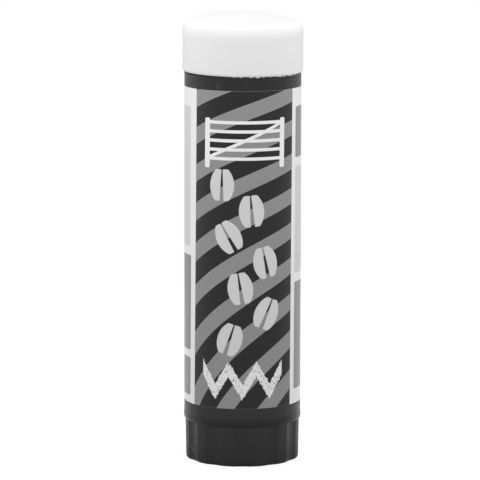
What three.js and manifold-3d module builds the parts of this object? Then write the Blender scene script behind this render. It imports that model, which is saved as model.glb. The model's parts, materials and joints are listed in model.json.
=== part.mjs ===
// A twist-up marking crayon for livestock: a thick stick of wax in a plastic tube. Turning the
// fluted knob at the foot turns a coarse lead screw inside the wax, and the screw winds a
// carrier, and the wax standing on it, up out of the tube. A domed cap pushes over the neck.
//
// Millimetres, +Z up. The origin is the centre of the ring that the crayon stands on, the Z axis
// is the tube's axis, and -Y is the front of the label. The cap is on and the wax is wound down.

import * as THREE from "three";
import { mergeVertices, toCreasedNormals } from "three/addons/utils/BufferGeometryUtils.js";
import Module from "manifold-3d";

// Running gaps between pieces that slide or turn on each other
const waxGap = 0.2; // wax to the tube's bore
const carrierGap = 0.25; // carrier to the tube's bore
const turningGap = 0.3; // knob, screw and carrier, wherever they turn or land
const threadGap = 0.3; // screw's thread to the carrier's, all round its section
const keyGap = 0.3; // a key bar to its groove, on three sides
const capGap = 0.25; // cap to neck, and its sealing lip to the bore
const castGap = 0.3; // wax to the carrier that it is cast into
const socketGap = 0.15; // screw's tail to the knob's socket
const labelGap = 0.03; // label to tube, and its lap to the layer below

// Lead screw and its travel
const windingTravel = 88; // how far the wax winds out of the tube: 11 turns of the knob
const threadLead = 8; // rise of the carrier for one turn of the knob
const nutHeight = 8;
const screwCoreRadius = 2.7;
const threadDepth = 1.2;
const threadRootWidth = 3.0;
const threadCrestWidth = 1.8;
const screwTipClearance = 1.2; // air over the screw's tip, inside the wax
const screwTipRounding = 0.9;
const threadRunout = 0.2; // plain core between the thread's ends and the flange or tip
const flangeRadius = 5.5;
const flangeThickness = 1.2;
const journalRadius = 3.1;
const flangeRounding = 0.2;
const tailRadius = 2.9; // over the serrations pressed into the knob
const serrationDepth = 0.55;
const serrationCount = 8;
const tailLength = 10.2;

// Wax
const crayonRadius = 15.0;
const tipThickness = 8; // solid wax over the screw's hole
const tipDome = 0.8;
const tipRounding = 1.6;
const waxHoleRounding = 0.8;

// Tube
const footWall = 1.88; // at the collar; the tube tapers a little towards its neck
const headWall = 1.78;
const neckWall = 0.9;
const neckHeight = 10.9;
const rimAboveWax = 2.4;
const rimRounding = 0.35;
const shoulderRounding = 0.3;
const snapBead = 0.15; // how far the neck's bead stands proud
const snapBeadWidth = 0.9;
const snapBeadRise = 3.4; // from the shoulder to the bead's middle
const collarFlare = 0.09; // the collar's lower edge stands this much proud of the tube's foot
const collarSlant = 0.3; // height of the slanted face under the collar
const collarRise = 0.95; // from the collar's lower edge to the top of its widest band
const collarBlend = 2.4; // from the collar's lower edge to where the plain taper starts
const collarUnderRounding = 0.8;
const collarBellyRounding = 2.5;
const floorRecess = 1.7; // from the collar's lower edge up to the floor's underside
const floorThickness = 1.8;
const spigotWall = 1.2;
const spigotDepth = 6.0; // how far the spigot reaches down into the knob
const spigotRounding = 0.4;
const keyCount = 4;
const keyWidth = 1.2;
const keyDepth = 0.7;
const keyBelowRim = 2.4;
const keyTurn = 0.5; // the first key bar stands this share of a pitch from the X axis

// Knob
const knobHeight = 11.41;
const knobStep = 0.19; // the knob is this much smaller in radius than the tube's foot
const knobDraft = 0.25; // less radius at the bottom than at the top
const knobWall = 1.55;
const knobFloor = 1.3;
const knobBottomRounding = 0.6;
const knobTopRounding = 0.15;
const knobMouthWidening = 0.3; // the spigot's lead-in at the knob's mouth
const knobMouthDepth = 0.5;
const knobFilletInside = 0.5;
const footRingHeight = 0.7;
const footRingWidth = 2.4;
const fluteCount = 12;
const fluteWidth = 5.0;
const fluteDepth = 0.45;
const fluteFlare = 0.6; // the flutes run out this much deeper at the knob's foot
const fluteFlareHeight = 1.2;
const bossRadius = 5.0;
const bossFillet = 0.4;
const bossWebCount = 6;
const bossWebThickness = 1.0;
const catchHeight = 3.0; // from the knob's top edge down to the middle of its snap groove
const catchWidth = 1.0;
const catchDepth = 0.4;

// Carrier
const carrierHeight = 10;
const carrierFloor = 1.6;
const carrierWall = 1.4;
const carrierRounding = 0.3;
const carrierFillet = 0.4;
const nutRadius = 6;
const anchorCount = 4;
const anchorHeight = 2.6;
const anchorThickness = 1.0;

// Cap
const capWall = 1.19;
const capHeight = 17.3;
const capCrown = 1.2;
const domeRadius = 50;
const capShoulderRounding = 2.0;
const capRimRounding = 0.8;
const capMouthWidening = 0.25; // the neck's lead-in at the cap's mouth
const capMouthDepth = 0.5;
const capCornerThickness = 0.6; // the crown grows this much thicker towards the skirt
const capCornerFillet = 0.8;
const lipThickness = 0.85;
const lipReach = 1.2; // how far the sealing lip dips below the tube's rim
const lipTaper = 0.25; // the lip's lead-in, and its height
const lipTaperHeight = 0.8;

// Label
const labelThickness = 0.1;
const labelAboveCollar = 5.57; // from the collar's lower edge to the label's
const labelBelowShoulder = 3.88;
const labelRecess = 0.13; // the label lies this deep in the tube's wall, so it is nearly flush
const labelMargin = 0.25; // from the label's edges to the ends of its recess
const labelLap = 5; // the ends lap this much, at the back

// Facets in a full turn
const shellFacets = 48;
const innerFacets = 32;
const threadFacets = 16;
const fluteFacets = 48;
const domeSteps = 5;
const innerDomeSteps = 3;
const tipSteps = 4;
const arcDetail = 3; // steps in an arc, for each millimetre of its rounding
const mostArcSteps = 4;

// Places worked out from the sizes, from the floor upwards
const collarBase = knobHeight + turningGap;
const floorUnderside = collarBase + floorRecess;
const floorTop = floorUnderside + floorThickness;
const flangeBase = floorTop + turningGap;
const flangeTop = flangeBase + flangeThickness;
const carrierBase = flangeTop + turningGap;
const screwTop = carrierBase + nutHeight + windingTravel;
const waxHoleTop = screwTop + screwTipClearance;
const waxTop = waxHoleTop + tipThickness;
const rimHeight = waxTop + rimAboveWax;
const shoulderHeight = rimHeight - neckHeight;
const capBase = shoulderHeight + turningGap;
const capTop = capBase + capHeight;
const labelBase = collarBase + labelAboveCollar;
const labelTop = shoulderHeight - labelBelowShoulder;
const recessBase = labelBase - labelMargin;
const recessTop = labelTop + labelMargin;
const catchMiddle = knobHeight - catchHeight;
const bossTop = floorUnderside - turningGap;
const tailBase = bossTop - tailLength;
const keyTop = rimHeight - keyBelowRim;

// Radii worked out from the sizes, from the wax outwards
const boreRadius = crayonRadius + waxGap;
const neckRadius = boreRadius + neckWall;
const tubeHeadRadius = boreRadius + headWall;
const tubeFootRadius = boreRadius + footWall;
const knobTopRadius = tubeFootRadius - knobStep;
const knobBottomRadius = knobTopRadius - knobDraft;
const knobInside = knobTopRadius - knobWall;
const spigotRadius = knobInside - turningGap;
const spigotInside = spigotRadius - spigotWall;
const journalHole = journalRadius + turningGap;
const carrierRadius = boreRadius - carrierGap;
const cupInside = carrierRadius - carrierWall;
const keyInside = boreRadius - keyDepth;
const threadRadius = screwCoreRadius + threadDepth;
const capInside = neckRadius + capGap;
const capRadius = capInside + capWall;
const lipRadius = boreRadius - capGap;

const FULL_TURN = 2 * Math.PI;
const EMBED = 0.4; // how far a joined piece sinks into what it is joined to
const PAST = 2; // how far a cutter runs past the face that it cuts
const ARC_ROOM = 0.9; // the most that a rounding takes of the shorter side of its corner

const wasm = await Module();
wasm.setup();

// A closed three.js geometry as a solid, its faces turned to point outwards.
function solid(geometry) {
  const bare = geometry.clone();
  bare.deleteAttribute("normal");
  bare.deleteAttribute("uv");
  const merged = mergeVertices(bare, 1e-4);
  const corners = merged.index.array;
  const kept = [];
  for (let i = 0; i < corners.length; i += 3) {
    const [a, b, c] = [corners[i], corners[i + 1], corners[i + 2]];
    if (a !== b && b !== c && c !== a) kept.push(a, b, c);
  }
  const vertProperties = new Float32Array(merged.attributes.position.array);
  const build = (triVerts) =>
    new wasm.Manifold(new wasm.Mesh({ numProp: 3, vertProperties, triVerts: new Uint32Array(triVerts) }));
  const made = build(kept);
  return made.volume() < 0 ? build(kept.reverse()) : made;
}

// A solid as a named three.js mesh, smooth over its round faces and sharp at its edges.
function mesh(name, body, material) {
  const { vertProperties, triVerts, numProp } = body.getMesh();
  const positions = new Float32Array((vertProperties.length / numProp) * 3);
  for (let i = 0; i < positions.length / 3; i++) {
    positions.set(vertProperties.subarray(i * numProp, i * numProp + 3), i * 3);
  }
  const geometry = new THREE.BufferGeometry();
  geometry.setAttribute("position", new THREE.BufferAttribute(positions, 3));
  geometry.setIndex(new THREE.BufferAttribute(triVerts, 1));
  const made = new THREE.Mesh(toCreasedNormals(geometry, Math.PI / 6), material);
  made.name = name;
  return made;
}

// An outline from corners [x, y, rounding]: each corner with a rounding becomes an arc.
function outline(corners, closed) {
  const points = [];
  corners.forEach(([x, y, rounding], i) => {
    const corner = new THREE.Vector2(x, y);
    const isEnd = !closed && (i === 0 || i === corners.length - 1);
    if (!rounding || isEnd) {
      points.push(corner);
      return;
    }
    const neighbour = (step) => corners[(i + step + corners.length) % corners.length];
    const back = new THREE.Vector2(...neighbour(-1).slice(0, 2)).sub(corner);
    const ahead = new THREE.Vector2(...neighbour(1).slice(0, 2)).sub(corner);
    const halfAngle = Math.acos(back.clone().normalize().dot(ahead.clone().normalize())) / 2;
    const room = Math.min(back.length(), ahead.length()) * ARC_ROOM * Math.tan(halfAngle);
    const radius = Math.min(rounding, room);
    const tangent = radius / Math.tan(halfAngle);
    const start = corner.clone().addScaledVector(back.normalize(), tangent);
    const end = corner.clone().addScaledVector(ahead.normalize(), tangent);
    const inward = back.add(ahead).normalize();
    const centre = corner.clone().addScaledVector(inward, radius / Math.sin(halfAngle));
    const from = start.clone().sub(centre).angle();
    let sweep = end.clone().sub(centre).angle() - from;
    if (sweep > Math.PI) sweep -= FULL_TURN;
    if (sweep < -Math.PI) sweep += FULL_TURN;
    const steps = THREE.MathUtils.clamp(Math.round(rounding * arcDetail), 1, mostArcSteps);
    for (let k = 0; k <= steps; k++) {
      const angle = from + (sweep * k) / steps;
      points.push(new THREE.Vector2(Math.cos(angle), Math.sin(angle)).multiplyScalar(radius).add(centre));
    }
  });
  return points;
}

// A solid of revolution about Z. Its corners are [radius, height, rounding], and they either
// start and end on the axis or go all the way round a section clear of it.
function revolve(corners, facets) {
  const touchesAxis = corners[0][0] === 0;
  const points = outline(corners, !touchesAxis);
  if (!touchesAxis) points.push(points[0].clone());
  return solid(new THREE.LatheGeometry(points, facets).rotateX(Math.PI / 2));
}

// A straight bar, as wide as `width`, that runs outwards along a spoke at `angle`.
function spoke(width, inner, outer, base, top, angle) {
  const geometry = new THREE.BoxGeometry(outer - inner, width, top - base);
  return solid(geometry.translate((inner + outer) / 2, 0, (base + top) / 2).rotateZ(angle));
}

// The same bar at `count` equal angles round the axis, the first at `turn` of a pitch.
function spokes(count, turn, width, inner, outer, base, top) {
  const bars = Array.from({ length: count }, (_, i) =>
    spoke(width, inner, outer, base, top, ((i + turn) * FULL_TURN) / count),
  );
  return wasm.Manifold.union(bars);
}

// The ridge of a left-hand thread: its four-cornered section swept round the axis. It is left
// hand so that the knob, turned clockwise as seen from below, winds the wax up.
function threadRidge(base, top, spare) {
  const root = screwCoreRadius - EMBED;
  const crest = threadRadius + spare;
  const halfRoot = threadRootWidth / 2 + spare;
  const halfCrest = threadCrestWidth / 2 + spare;
  const section = [
    [root, -halfRoot],
    [crest, -halfCrest],
    [crest, halfCrest],
    [root, halfRoot],
  ];
  const stepRise = threadLead / threadFacets;
  const first = Math.ceil((base - carrierBase) / stepRise);
  const steps = Math.floor((top - carrierBase) / stepRise) - first;
  const positions = [];
  for (let i = first; i <= first + steps; i++) {
    const height = carrierBase + i * stepRise;
    const angle = (-FULL_TURN * i) / threadFacets;
    for (const [radius, rise] of section) {
      positions.push(radius * Math.cos(angle), radius * Math.sin(angle), height + rise);
    }
  }
  const index = [];
  const sides = section.length;
  for (let i = 0; i < steps; i++) {
    for (let k = 0; k < sides; k++) {
      const a = i * sides + k;
      const b = i * sides + ((k + 1) % sides);
      index.push(a, b, b + sides, a, b + sides, a + sides);
    }
  }
  const last = steps * sides;
  index.push(0, 2, 1, 0, 3, 2, last, last + 1, last + 2, last, last + 2, last + 3);
  const geometry = new THREE.BufferGeometry();
  geometry.setAttribute("position", new THREE.Float32BufferAttribute(positions, 3));
  geometry.setIndex(index);
  return solid(geometry);
}

// A serrated bar about Z: the screw's tail, and with `spare` added the socket that takes it.
function serratedBar(base, top, spare) {
  const shape = new THREE.Shape();
  for (let i = 0; i < 2 * serrationCount; i++) {
    const radius = tailRadius + spare - (i % 2 ? serrationDepth : 0);
    const angle = (FULL_TURN * i) / (2 * serrationCount);
    const point = [radius * Math.cos(angle), radius * Math.sin(angle)];
    if (i === 0) shape.moveTo(...point);
    else shape.lineTo(...point);
  }
  const geometry = new THREE.ExtrudeGeometry(shape, { depth: top - base, bevelEnabled: false });
  return solid(geometry.translate(0, 0, base));
}

// Radius of the tube's outside at a height: a straight taper from collar to shoulder.
function tubeRadius(height) {
  const share = (height - collarBase) / (shoulderHeight - collarBase);
  return THREE.MathUtils.lerp(tubeFootRadius, tubeHeadRadius, share);
}

// Corners of a dome that is part of a sphere, from its edge in to its apex on the axis.
function dome(apex, sphereRadius, edgeRadius, steps) {
  return Array.from({ length: steps + 1 }, (_, i) => {
    const radius = edgeRadius * (1 - i / steps);
    return [radius, apex - sphereRadius + Math.sqrt(sphereRadius ** 2 - radius ** 2)];
  });
}

// The tube: collar, tapered barrel with a shallow recess for the label, and neck outside; bore,
// floor and key bars inside; and below the floor a spigot with a bead that snaps into the knob.
function buildBarrel() {
  const beadBase = shoulderHeight + snapBeadRise - snapBeadWidth / 2;
  const beadTop = beadBase + snapBeadWidth;
  const catchRadius = spigotRadius + catchDepth;
  const shell = revolve(
    [
      [spigotInside, collarBase - spigotDepth],
      [spigotRadius, collarBase - spigotDepth, spigotRounding],
      [spigotRadius, catchMiddle - catchWidth / 2],
      [catchRadius, catchMiddle - catchWidth / 6],
      [catchRadius, catchMiddle + catchWidth / 6],
      [spigotRadius, catchMiddle + catchWidth / 2],
      [spigotRadius, collarBase],
      [knobTopRadius - knobTopRounding, collarBase],
      [tubeFootRadius + collarFlare, collarBase + collarSlant, collarUnderRounding],
      [tubeFootRadius + collarFlare, collarBase + collarRise, collarBellyRounding],
      [tubeRadius(collarBase + collarBlend), collarBase + collarBlend],
      [tubeRadius(recessBase), recessBase],
      [tubeRadius(recessBase) - labelRecess, recessBase],
      [tubeRadius(recessTop) - labelRecess, recessTop],
      [tubeRadius(recessTop), recessTop],
      [tubeHeadRadius, shoulderHeight, shoulderRounding],
      [neckRadius, shoulderHeight],
      [neckRadius, beadBase],
      [neckRadius + snapBead, beadBase + snapBeadWidth / 3],
      [neckRadius + snapBead, beadTop - snapBeadWidth / 3],
      [neckRadius, beadTop],
      [neckRadius, rimHeight, rimRounding],
      [boreRadius, rimHeight, rimRounding],
      [boreRadius, floorTop],
      [journalHole, floorTop],
      [journalHole, floorUnderside],
      [spigotInside, floorUnderside],
    ],
    shellFacets,
  );
  const keys = spokes(keyCount, keyTurn, keyWidth, keyInside, boreRadius + EMBED, floorTop - EMBED, keyTop);
  return shell.add(keys);
}

// The knob: a fluted cup, closed below, that turns round the tube's spigot. A boss on its floor
// holds the screw's tail, webs brace the boss, and a groove in its wall takes the spigot's bead.
function buildKnob() {
  const catchInside = knobInside + catchDepth;
  const footOuter = knobBottomRadius - knobBottomRounding;
  const footInner = footOuter - footRingWidth;
  const floorHeight = footRingHeight + knobFloor;
  const cup = revolve(
    [
      [0, footRingHeight],
      [footInner - footRingHeight, footRingHeight],
      [footInner, 0],
      [knobBottomRadius, 0, knobBottomRounding],
      [knobTopRadius, knobHeight, knobTopRounding],
      [knobInside + knobMouthWidening, knobHeight],
      [knobInside, knobHeight - knobMouthDepth],
      [knobInside, catchMiddle + catchWidth],
      [catchInside, catchMiddle + (catchWidth * 2) / 3],
      [catchInside, catchMiddle - (catchWidth * 2) / 3],
      [knobInside, catchMiddle - catchWidth],
      [knobInside, floorHeight, knobFilletInside],
      [bossRadius, floorHeight, bossFillet],
      [bossRadius, bossTop, bossFillet],
      [0, bossTop],
    ],
    shellFacets,
  );
  const websTop = collarBase - spigotDepth - turningGap;
  const webs = spokes(
    bossWebCount, 0, bossWebThickness, bossRadius - EMBED, knobInside + EMBED, floorHeight - EMBED, websTop,
  );
  const socket = serratedBar(tailBase - turningGap, bossTop + PAST, socketGap);
  return cup.add(webs).subtract(socket).subtract(flutes());
}

// The cutters of the knob's flutes. Each is a large round bar whose arc has the flute's width and
// depth. It leans with the knob's draft, and flares out at the knob's foot.
function flutes() {
  const halfWidth = fluteWidth / 2;
  const landDrop = knobTopRadius - Math.sqrt(knobTopRadius ** 2 - halfWidth ** 2);
  const arcRise = fluteDepth - landDrop;
  const cutterRadius = (halfWidth ** 2 + arcRise ** 2) / (2 * arcRise);
  const footLevel = -knobHeight / 2;
  const bar = revolve(
    [
      [0, footLevel - PAST],
      [cutterRadius + fluteFlare, footLevel - PAST],
      [cutterRadius + fluteFlare, footLevel],
      [cutterRadius, footLevel + fluteFlareHeight],
      [cutterRadius, -footLevel + PAST],
      [0, -footLevel + PAST],
    ],
    fluteFacets,
  );
  const lean = Math.atan(knobDraft / knobHeight) * THREE.MathUtils.RAD2DEG;
  const reach = knobTopRadius - fluteDepth - knobDraft / 2 + cutterRadius;
  const cutter = bar
    .rotate([0, 0, 180 / fluteFacets])
    .rotate([0, lean, 0])
    .translate([reach, 0, knobHeight / 2]);
  const cutters = Array.from({ length: fluteCount }, (_, i) => cutter.rotate([0, 0, (i * 360) / fluteCount]));
  return wasm.Manifold.union(cutters);
}

// The lead screw: serrated tail, journal in the tube's floor, thrust flange and threaded shaft.
function buildScrew() {
  const journalBase = bossTop + socketGap;
  const shaft = revolve(
    [
      [0, journalBase],
      [journalRadius, journalBase],
      [journalRadius, flangeBase],
      [flangeRadius, flangeBase, flangeRounding],
      [flangeRadius, flangeTop, flangeRounding],
      [screwCoreRadius, flangeTop],
      [screwCoreRadius, screwTop, screwTipRounding],
      [0, screwTop],
    ],
    threadFacets,
  );
  const tail = serratedBar(tailBase, journalBase + EMBED, 0);
  const ridgeMargin = threadRootWidth / 2 + threadRunout;
  const ridge = threadRidge(flangeTop + ridgeMargin, screwTop - ridgeMargin, 0);
  return shaft.add(tail).add(ridge);
}

// The carrier: a cup that the wax is cast into, with the nut in its middle, grooves for the
// tube's key bars, and low anchors on its floor that keep the wax from turning in it.
function buildCarrier() {
  const nutBore = screwCoreRadius + threadGap;
  const cup = revolve(
    [
      [nutBore, carrierBase],
      [carrierRadius, carrierBase, carrierRounding],
      [carrierRadius, carrierBase + carrierHeight, carrierRounding],
      [cupInside, carrierBase + carrierHeight, carrierRounding],
      [cupInside, carrierBase + carrierFloor, carrierFillet],
      [nutRadius, carrierBase + carrierFloor],
      [nutRadius, carrierBase + nutHeight, carrierRounding],
      [nutBore, carrierBase + nutHeight],
    ],
    innerFacets,
  );
  const anchors = spokes(
    anchorCount, 0, anchorThickness, nutRadius - EMBED, cupInside + EMBED,
    carrierBase + carrierFloor - EMBED, carrierBase + anchorHeight + carrierFloor,
  );
  const nutTop = carrierBase + nutHeight;
  const thread = threadRidge(carrierBase - threadLead / 2, nutTop + threadLead / 2, threadGap);
  const grooves = keyGrooves(carrierBase - PAST, carrierBase + carrierHeight + PAST);
  return cup.add(anchors).subtract(thread).subtract(grooves);
}

// Grooves for the key bars, as cutters between two heights.
function keyGrooves(base, top) {
  const width = keyWidth + 2 * keyGap;
  return spokes(keyCount, keyTurn, width, keyInside - keyGap, boreRadius + PAST, base, top);
}

// The wax: a round stick with a slightly domed tip, hollow up the middle for the screw, and
// fitted at its foot round the carrier's nut, wall and anchors.
function buildCrayon() {
  const screwHole = threadRadius + 2 * turningGap;
  const nutTop = carrierBase + nutHeight;
  const footHeight = carrierBase + carrierFloor + castGap;
  const cupTop = carrierBase + carrierHeight + castGap;
  const tipSphere = (crayonRadius ** 2 + tipDome ** 2) / (2 * tipDome);
  const [tipEdge, ...tip] = dome(waxTop, tipSphere, crayonRadius, tipSteps);
  const stick = revolve(
    [
      [0, waxHoleTop],
      [screwHole, waxHoleTop, waxHoleRounding],
      [screwHole, nutTop + castGap],
      [nutRadius + castGap, nutTop + castGap],
      [nutRadius + castGap, footHeight],
      [cupInside - castGap, footHeight, carrierFillet],
      [cupInside - castGap, cupTop],
      [crayonRadius, cupTop],
      [...tipEdge, tipRounding],
      ...tip,
    ],
    innerFacets,
  );
  const anchorSlots = spokes(
    anchorCount, 0, anchorThickness + 2 * castGap, 0, cupInside + castGap,
    carrierBase, carrierBase + carrierFloor + anchorHeight + castGap,
  );
  return stick.subtract(anchorSlots).subtract(keyGrooves(carrierBase, waxTop + PAST));
}

// The cap: a domed shell with a groove for the neck's bead, and a lip that seals the bore.
function buildCap() {
  const groove = capInside + snapBead;
  const grooveMiddle = shoulderHeight + snapBeadRise;
  const lipInside = lipRadius - lipThickness;
  const lipBase = rimHeight - lipReach;
  const innerCrown = dome(capTop - capCrown, domeRadius - capCrown, lipInside, innerDomeSteps);
  const [shoulder, ...crown] = dome(capTop, domeRadius, capRadius, domeSteps);
  const crownUnder = innerCrown[0][1] - capCornerThickness;
  return revolve(
    [
      ...innerCrown.toReversed(),
      [lipInside, lipBase],
      [lipRadius - lipTaper, lipBase],
      [lipRadius, lipBase + lipTaperHeight],
      [lipRadius, crownUnder],
      [capInside, crownUnder, capCornerFillet],
      [capInside, grooveMiddle + snapBeadWidth],
      [groove, grooveMiddle + snapBeadWidth / 2],
      [groove, grooveMiddle - snapBeadWidth / 2],
      [capInside, grooveMiddle - snapBeadWidth],
      [capInside, capBase + capMouthDepth],
      [capInside + capMouthWidening, capBase],
      [capRadius, capBase, capRimRounding],
      [...shoulder, capShoulderRounding],
      ...crown,
    ],
    shellFacets,
  );
}

// The label: one wrap of film in the recess of the tube's taper, its free end lapped over its
// start at the back.
function buildLabel() {
  const turn = FULL_TURN + labelLap / tubeFootRadius;
  const steps = Math.round((shellFacets * turn) / FULL_TURN);
  const backAngle = Math.PI / 2;
  const stepUp = labelThickness + labelGap;
  const edge = (offset) =>
    Array.from({ length: steps + 1 }, (_, i) => {
      const lapped = i >= shellFacets - 1 ? stepUp : 0;
      const angle = backAngle + (FULL_TURN * i) / shellFacets;
      const radius = tubeFootRadius - labelRecess + labelGap + offset + lapped;
      return new THREE.Vector2(radius * Math.cos(angle), radius * Math.sin(angle));
    });
  const shape = new THREE.Shape([...edge(0), ...edge(labelThickness).reverse()]);
  const geometry = new THREE.ExtrudeGeometry(shape, { depth: labelTop - labelBase, bevelEnabled: false });
  geometry.translate(0, 0, labelBase);
  const place = geometry.getAttribute("position");
  for (let i = 0; i < place.count; i++) {
    const taper = tubeRadius(place.getZ(i)) / tubeFootRadius;
    place.setXY(i, place.getX(i) * taper, place.getY(i) * taper);
  }
  return solid(geometry);
}

const blackPlastic = new THREE.MeshStandardMaterial({ color: 0x2b2b2b, roughness: 0.42, metalness: 0 });
const blackKnobPlastic = new THREE.MeshStandardMaterial({ color: 0x292929, roughness: 0.5, metalness: 0 });
const whiteCapPlastic = new THREE.MeshStandardMaterial({ color: 0xf0f0ef, roughness: 0.45, metalness: 0 });
const labelFilm = new THREE.MeshStandardMaterial({ color: 0x8f8f8f, roughness: 0.35, metalness: 0 });
const whiteWax = new THREE.MeshStandardMaterial({ color: 0xf2f1ec, roughness: 0.6, metalness: 0 });
const naturalPlastic = new THREE.MeshStandardMaterial({ color: 0xdedcd4, roughness: 0.5, metalness: 0 });

const crayon = new THREE.Group();
crayon.add(
  mesh("barrel", buildBarrel(), blackPlastic),
  mesh("label", buildLabel(), labelFilm),
  mesh("twist_knob", buildKnob(), blackKnobPlastic),
  mesh("lead_screw", buildScrew(), naturalPlastic),
  mesh("carrier", buildCarrier(), naturalPlastic),
  mesh("wax_crayon", buildCrayon(), whiteWax),
  mesh("cap", buildCap(), whiteCapPlastic),
);

export default crayon;
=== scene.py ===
"""Studio scene of a twist-up animal marking crayon.

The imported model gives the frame: bodies, joints and the box of every node. Each piece that can be
seen is made again here as a fine mesh in the same place, with its own procedural finish.
Sizes are in millimetres, as on the drawing; meshes are written in metres.
"""

import functools
import json
import logging
import math
from dataclasses import dataclass
from enum import Enum
from typing import Callable, Optional, Sequence, Union

import bmesh
import bpy
from mathutils import Matrix, Vector, noise

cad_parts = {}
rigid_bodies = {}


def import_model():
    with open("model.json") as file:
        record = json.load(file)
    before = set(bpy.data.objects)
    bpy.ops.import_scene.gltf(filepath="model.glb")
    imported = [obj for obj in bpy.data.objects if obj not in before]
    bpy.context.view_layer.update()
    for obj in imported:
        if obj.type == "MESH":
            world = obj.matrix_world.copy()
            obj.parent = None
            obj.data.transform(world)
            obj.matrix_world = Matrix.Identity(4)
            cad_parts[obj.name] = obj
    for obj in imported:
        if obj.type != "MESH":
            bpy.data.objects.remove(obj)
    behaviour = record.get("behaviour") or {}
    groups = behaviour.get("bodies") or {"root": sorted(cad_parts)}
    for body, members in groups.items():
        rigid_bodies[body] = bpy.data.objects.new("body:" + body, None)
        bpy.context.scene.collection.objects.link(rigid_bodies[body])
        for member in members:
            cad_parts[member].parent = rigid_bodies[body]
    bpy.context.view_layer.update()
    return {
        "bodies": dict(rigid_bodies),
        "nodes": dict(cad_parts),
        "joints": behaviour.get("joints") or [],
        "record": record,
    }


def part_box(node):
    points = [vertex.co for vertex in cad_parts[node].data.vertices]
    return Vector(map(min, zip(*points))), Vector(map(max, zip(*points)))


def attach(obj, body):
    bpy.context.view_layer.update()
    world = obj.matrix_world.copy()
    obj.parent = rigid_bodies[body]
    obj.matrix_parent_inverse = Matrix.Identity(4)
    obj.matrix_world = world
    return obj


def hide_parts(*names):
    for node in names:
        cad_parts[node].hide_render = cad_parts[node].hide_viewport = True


MM = 0.001
FULL_TURN = 2 * math.pi
TOUCH = 1e-6
LOG = logging.getLogger("marking_crayon")

Point = tuple[float, float]
Shaper = Callable[[float, float, float], Point]
Socket = bpy.types.NodeSocket
Value = Union[float, Sequence[float], Socket]


def clamped(value: float, low: float = 0.0, high: float = 1.0) -> float:
    """A value held between two limits."""
    return min(high, max(low, value))


def eased(share: float) -> float:
    """A share of 0 to 1 with soft ends; one past either end is held there."""
    share = clamped(share)
    return share * share * (3 - 2 * share)


# Turned meshes

@dataclass(frozen=True)
class Corner:
    """A corner of a turned profile, with the radius of the arc that rounds it."""

    radius: float
    height: float
    rounding: float = 0.0

    def place(self) -> Vector:
        """The corner as a point of the profile's plane."""
        return Vector((self.radius, self.height))


def rounded(corners: Sequence[Corner], steps_per_turn: int = 32) -> list[Point]:
    """Replaces each rounded corner of a profile with an arc.

    Args:
        corners: the profile's corners, in order. Its first and last aren't rounded.
        steps_per_turn: how finely arcs are divided.

    Returns:
        The profile's points as (radius, height).
    """
    points: list[Point] = []
    for index, corner in enumerate(corners):
        here = corner.place()
        if corner.rounding == 0:
            points.append((here.x, here.y))
            continue
        back = corners[index - 1].place() - here
        ahead = corners[index + 1].place() - here
        half_angle = back.angle(ahead) / 2
        room = 0.9 * min(back.length, ahead.length) * math.tan(half_angle)
        radius = min(corner.rounding, room)
        start = here + back.normalized() * (radius / math.tan(half_angle))
        end = here + ahead.normalized() * (radius / math.tan(half_angle))
        inward = (back.normalized() + ahead.normalized()).normalized()
        centre = here + inward * (radius / math.sin(half_angle))
        first = math.atan2(start.y - centre.y, start.x - centre.x)
        sweep = math.atan2(end.y - centre.y, end.x - centre.x) - first
        sweep = (sweep + math.pi) % FULL_TURN - math.pi
        steps = max(3, math.ceil(abs(sweep) / FULL_TURN * steps_per_turn))
        for step in range(steps + 1):
            angle = first + sweep * step / steps
            points.append((centre.x + radius * math.cos(angle), centre.y + radius * math.sin(angle)))
    return points


def dome(apex: float, sphere: float, edge: float, steps: int, room: float = 0.0) -> list[Corner]:
    """Corners of a dome that is part of a sphere, from its edge in to its apex.

    Args:
        apex: height of the dome's top.
        sphere: radius of the sphere.
        edge: radius of the dome's edge.
        steps: number of steps from edge to apex.
        room: length of the first step, where the edge is to be rounded.

    Returns:
        The dome's corners, with no rounding.
    """
    radii = [edge, *((edge - room) * (1 - step / steps) for step in range(0 if room else 1, steps + 1))]
    return [Corner(r, apex - sphere + math.sqrt(sphere**2 - r**2)) for r in radii]


def snap_band(wall: float, crest: float, middle: float, foot: float, face: float,
              rounding: float) -> list[Corner]:
    """Corners of a bead or groove that snaps two pieces together.

    Args:
        wall: radius of the wall that the band runs round.
        crest: radius of the band's face.
        middle: height of its middle.
        foot: height of its first corner over the middle, below 0 where the profile runs up.
        face: the same for the first edge of its face.
        rounding: of all its corners.

    Returns:
        The four corners.
    """
    return [Corner(wall, middle + foot, rounding), Corner(crest, middle + face, rounding),
            Corner(crest, middle - face, rounding), Corner(wall, middle - foot, rounding)]


def even_angles(count: int) -> list[float]:
    """Equal angles round a full turn."""
    return [FULL_TURN * index / count for index in range(count)]


def with_edges(angles: Sequence[float], edges: Sequence[float], width: float) -> list[float]:
    """Adds a close pair of angles at each edge of a feature, such as a key bar.

    Args:
        angles: the plain angles.
        edges: angles of the features' edges.
        width: half the angle that an edge takes.

    Returns:
        All angles in order; plain ones that crowd an edge are left out.
    """
    pairs = [(edge + side * width) % FULL_TURN for edge in edges for side in (-1, 1)]
    plain = [a for a in angles if all(abs(a - pair) > width for pair in pairs)]
    return sorted(plain + pairs)


def off_centre(angle: float, count: int, first: float = 0.0) -> float:
    """Angle from the nearest of several equally spaced features, in radians."""
    pitch = FULL_TURN / count
    return (angle - first + pitch / 2) % pitch - pitch / 2


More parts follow.
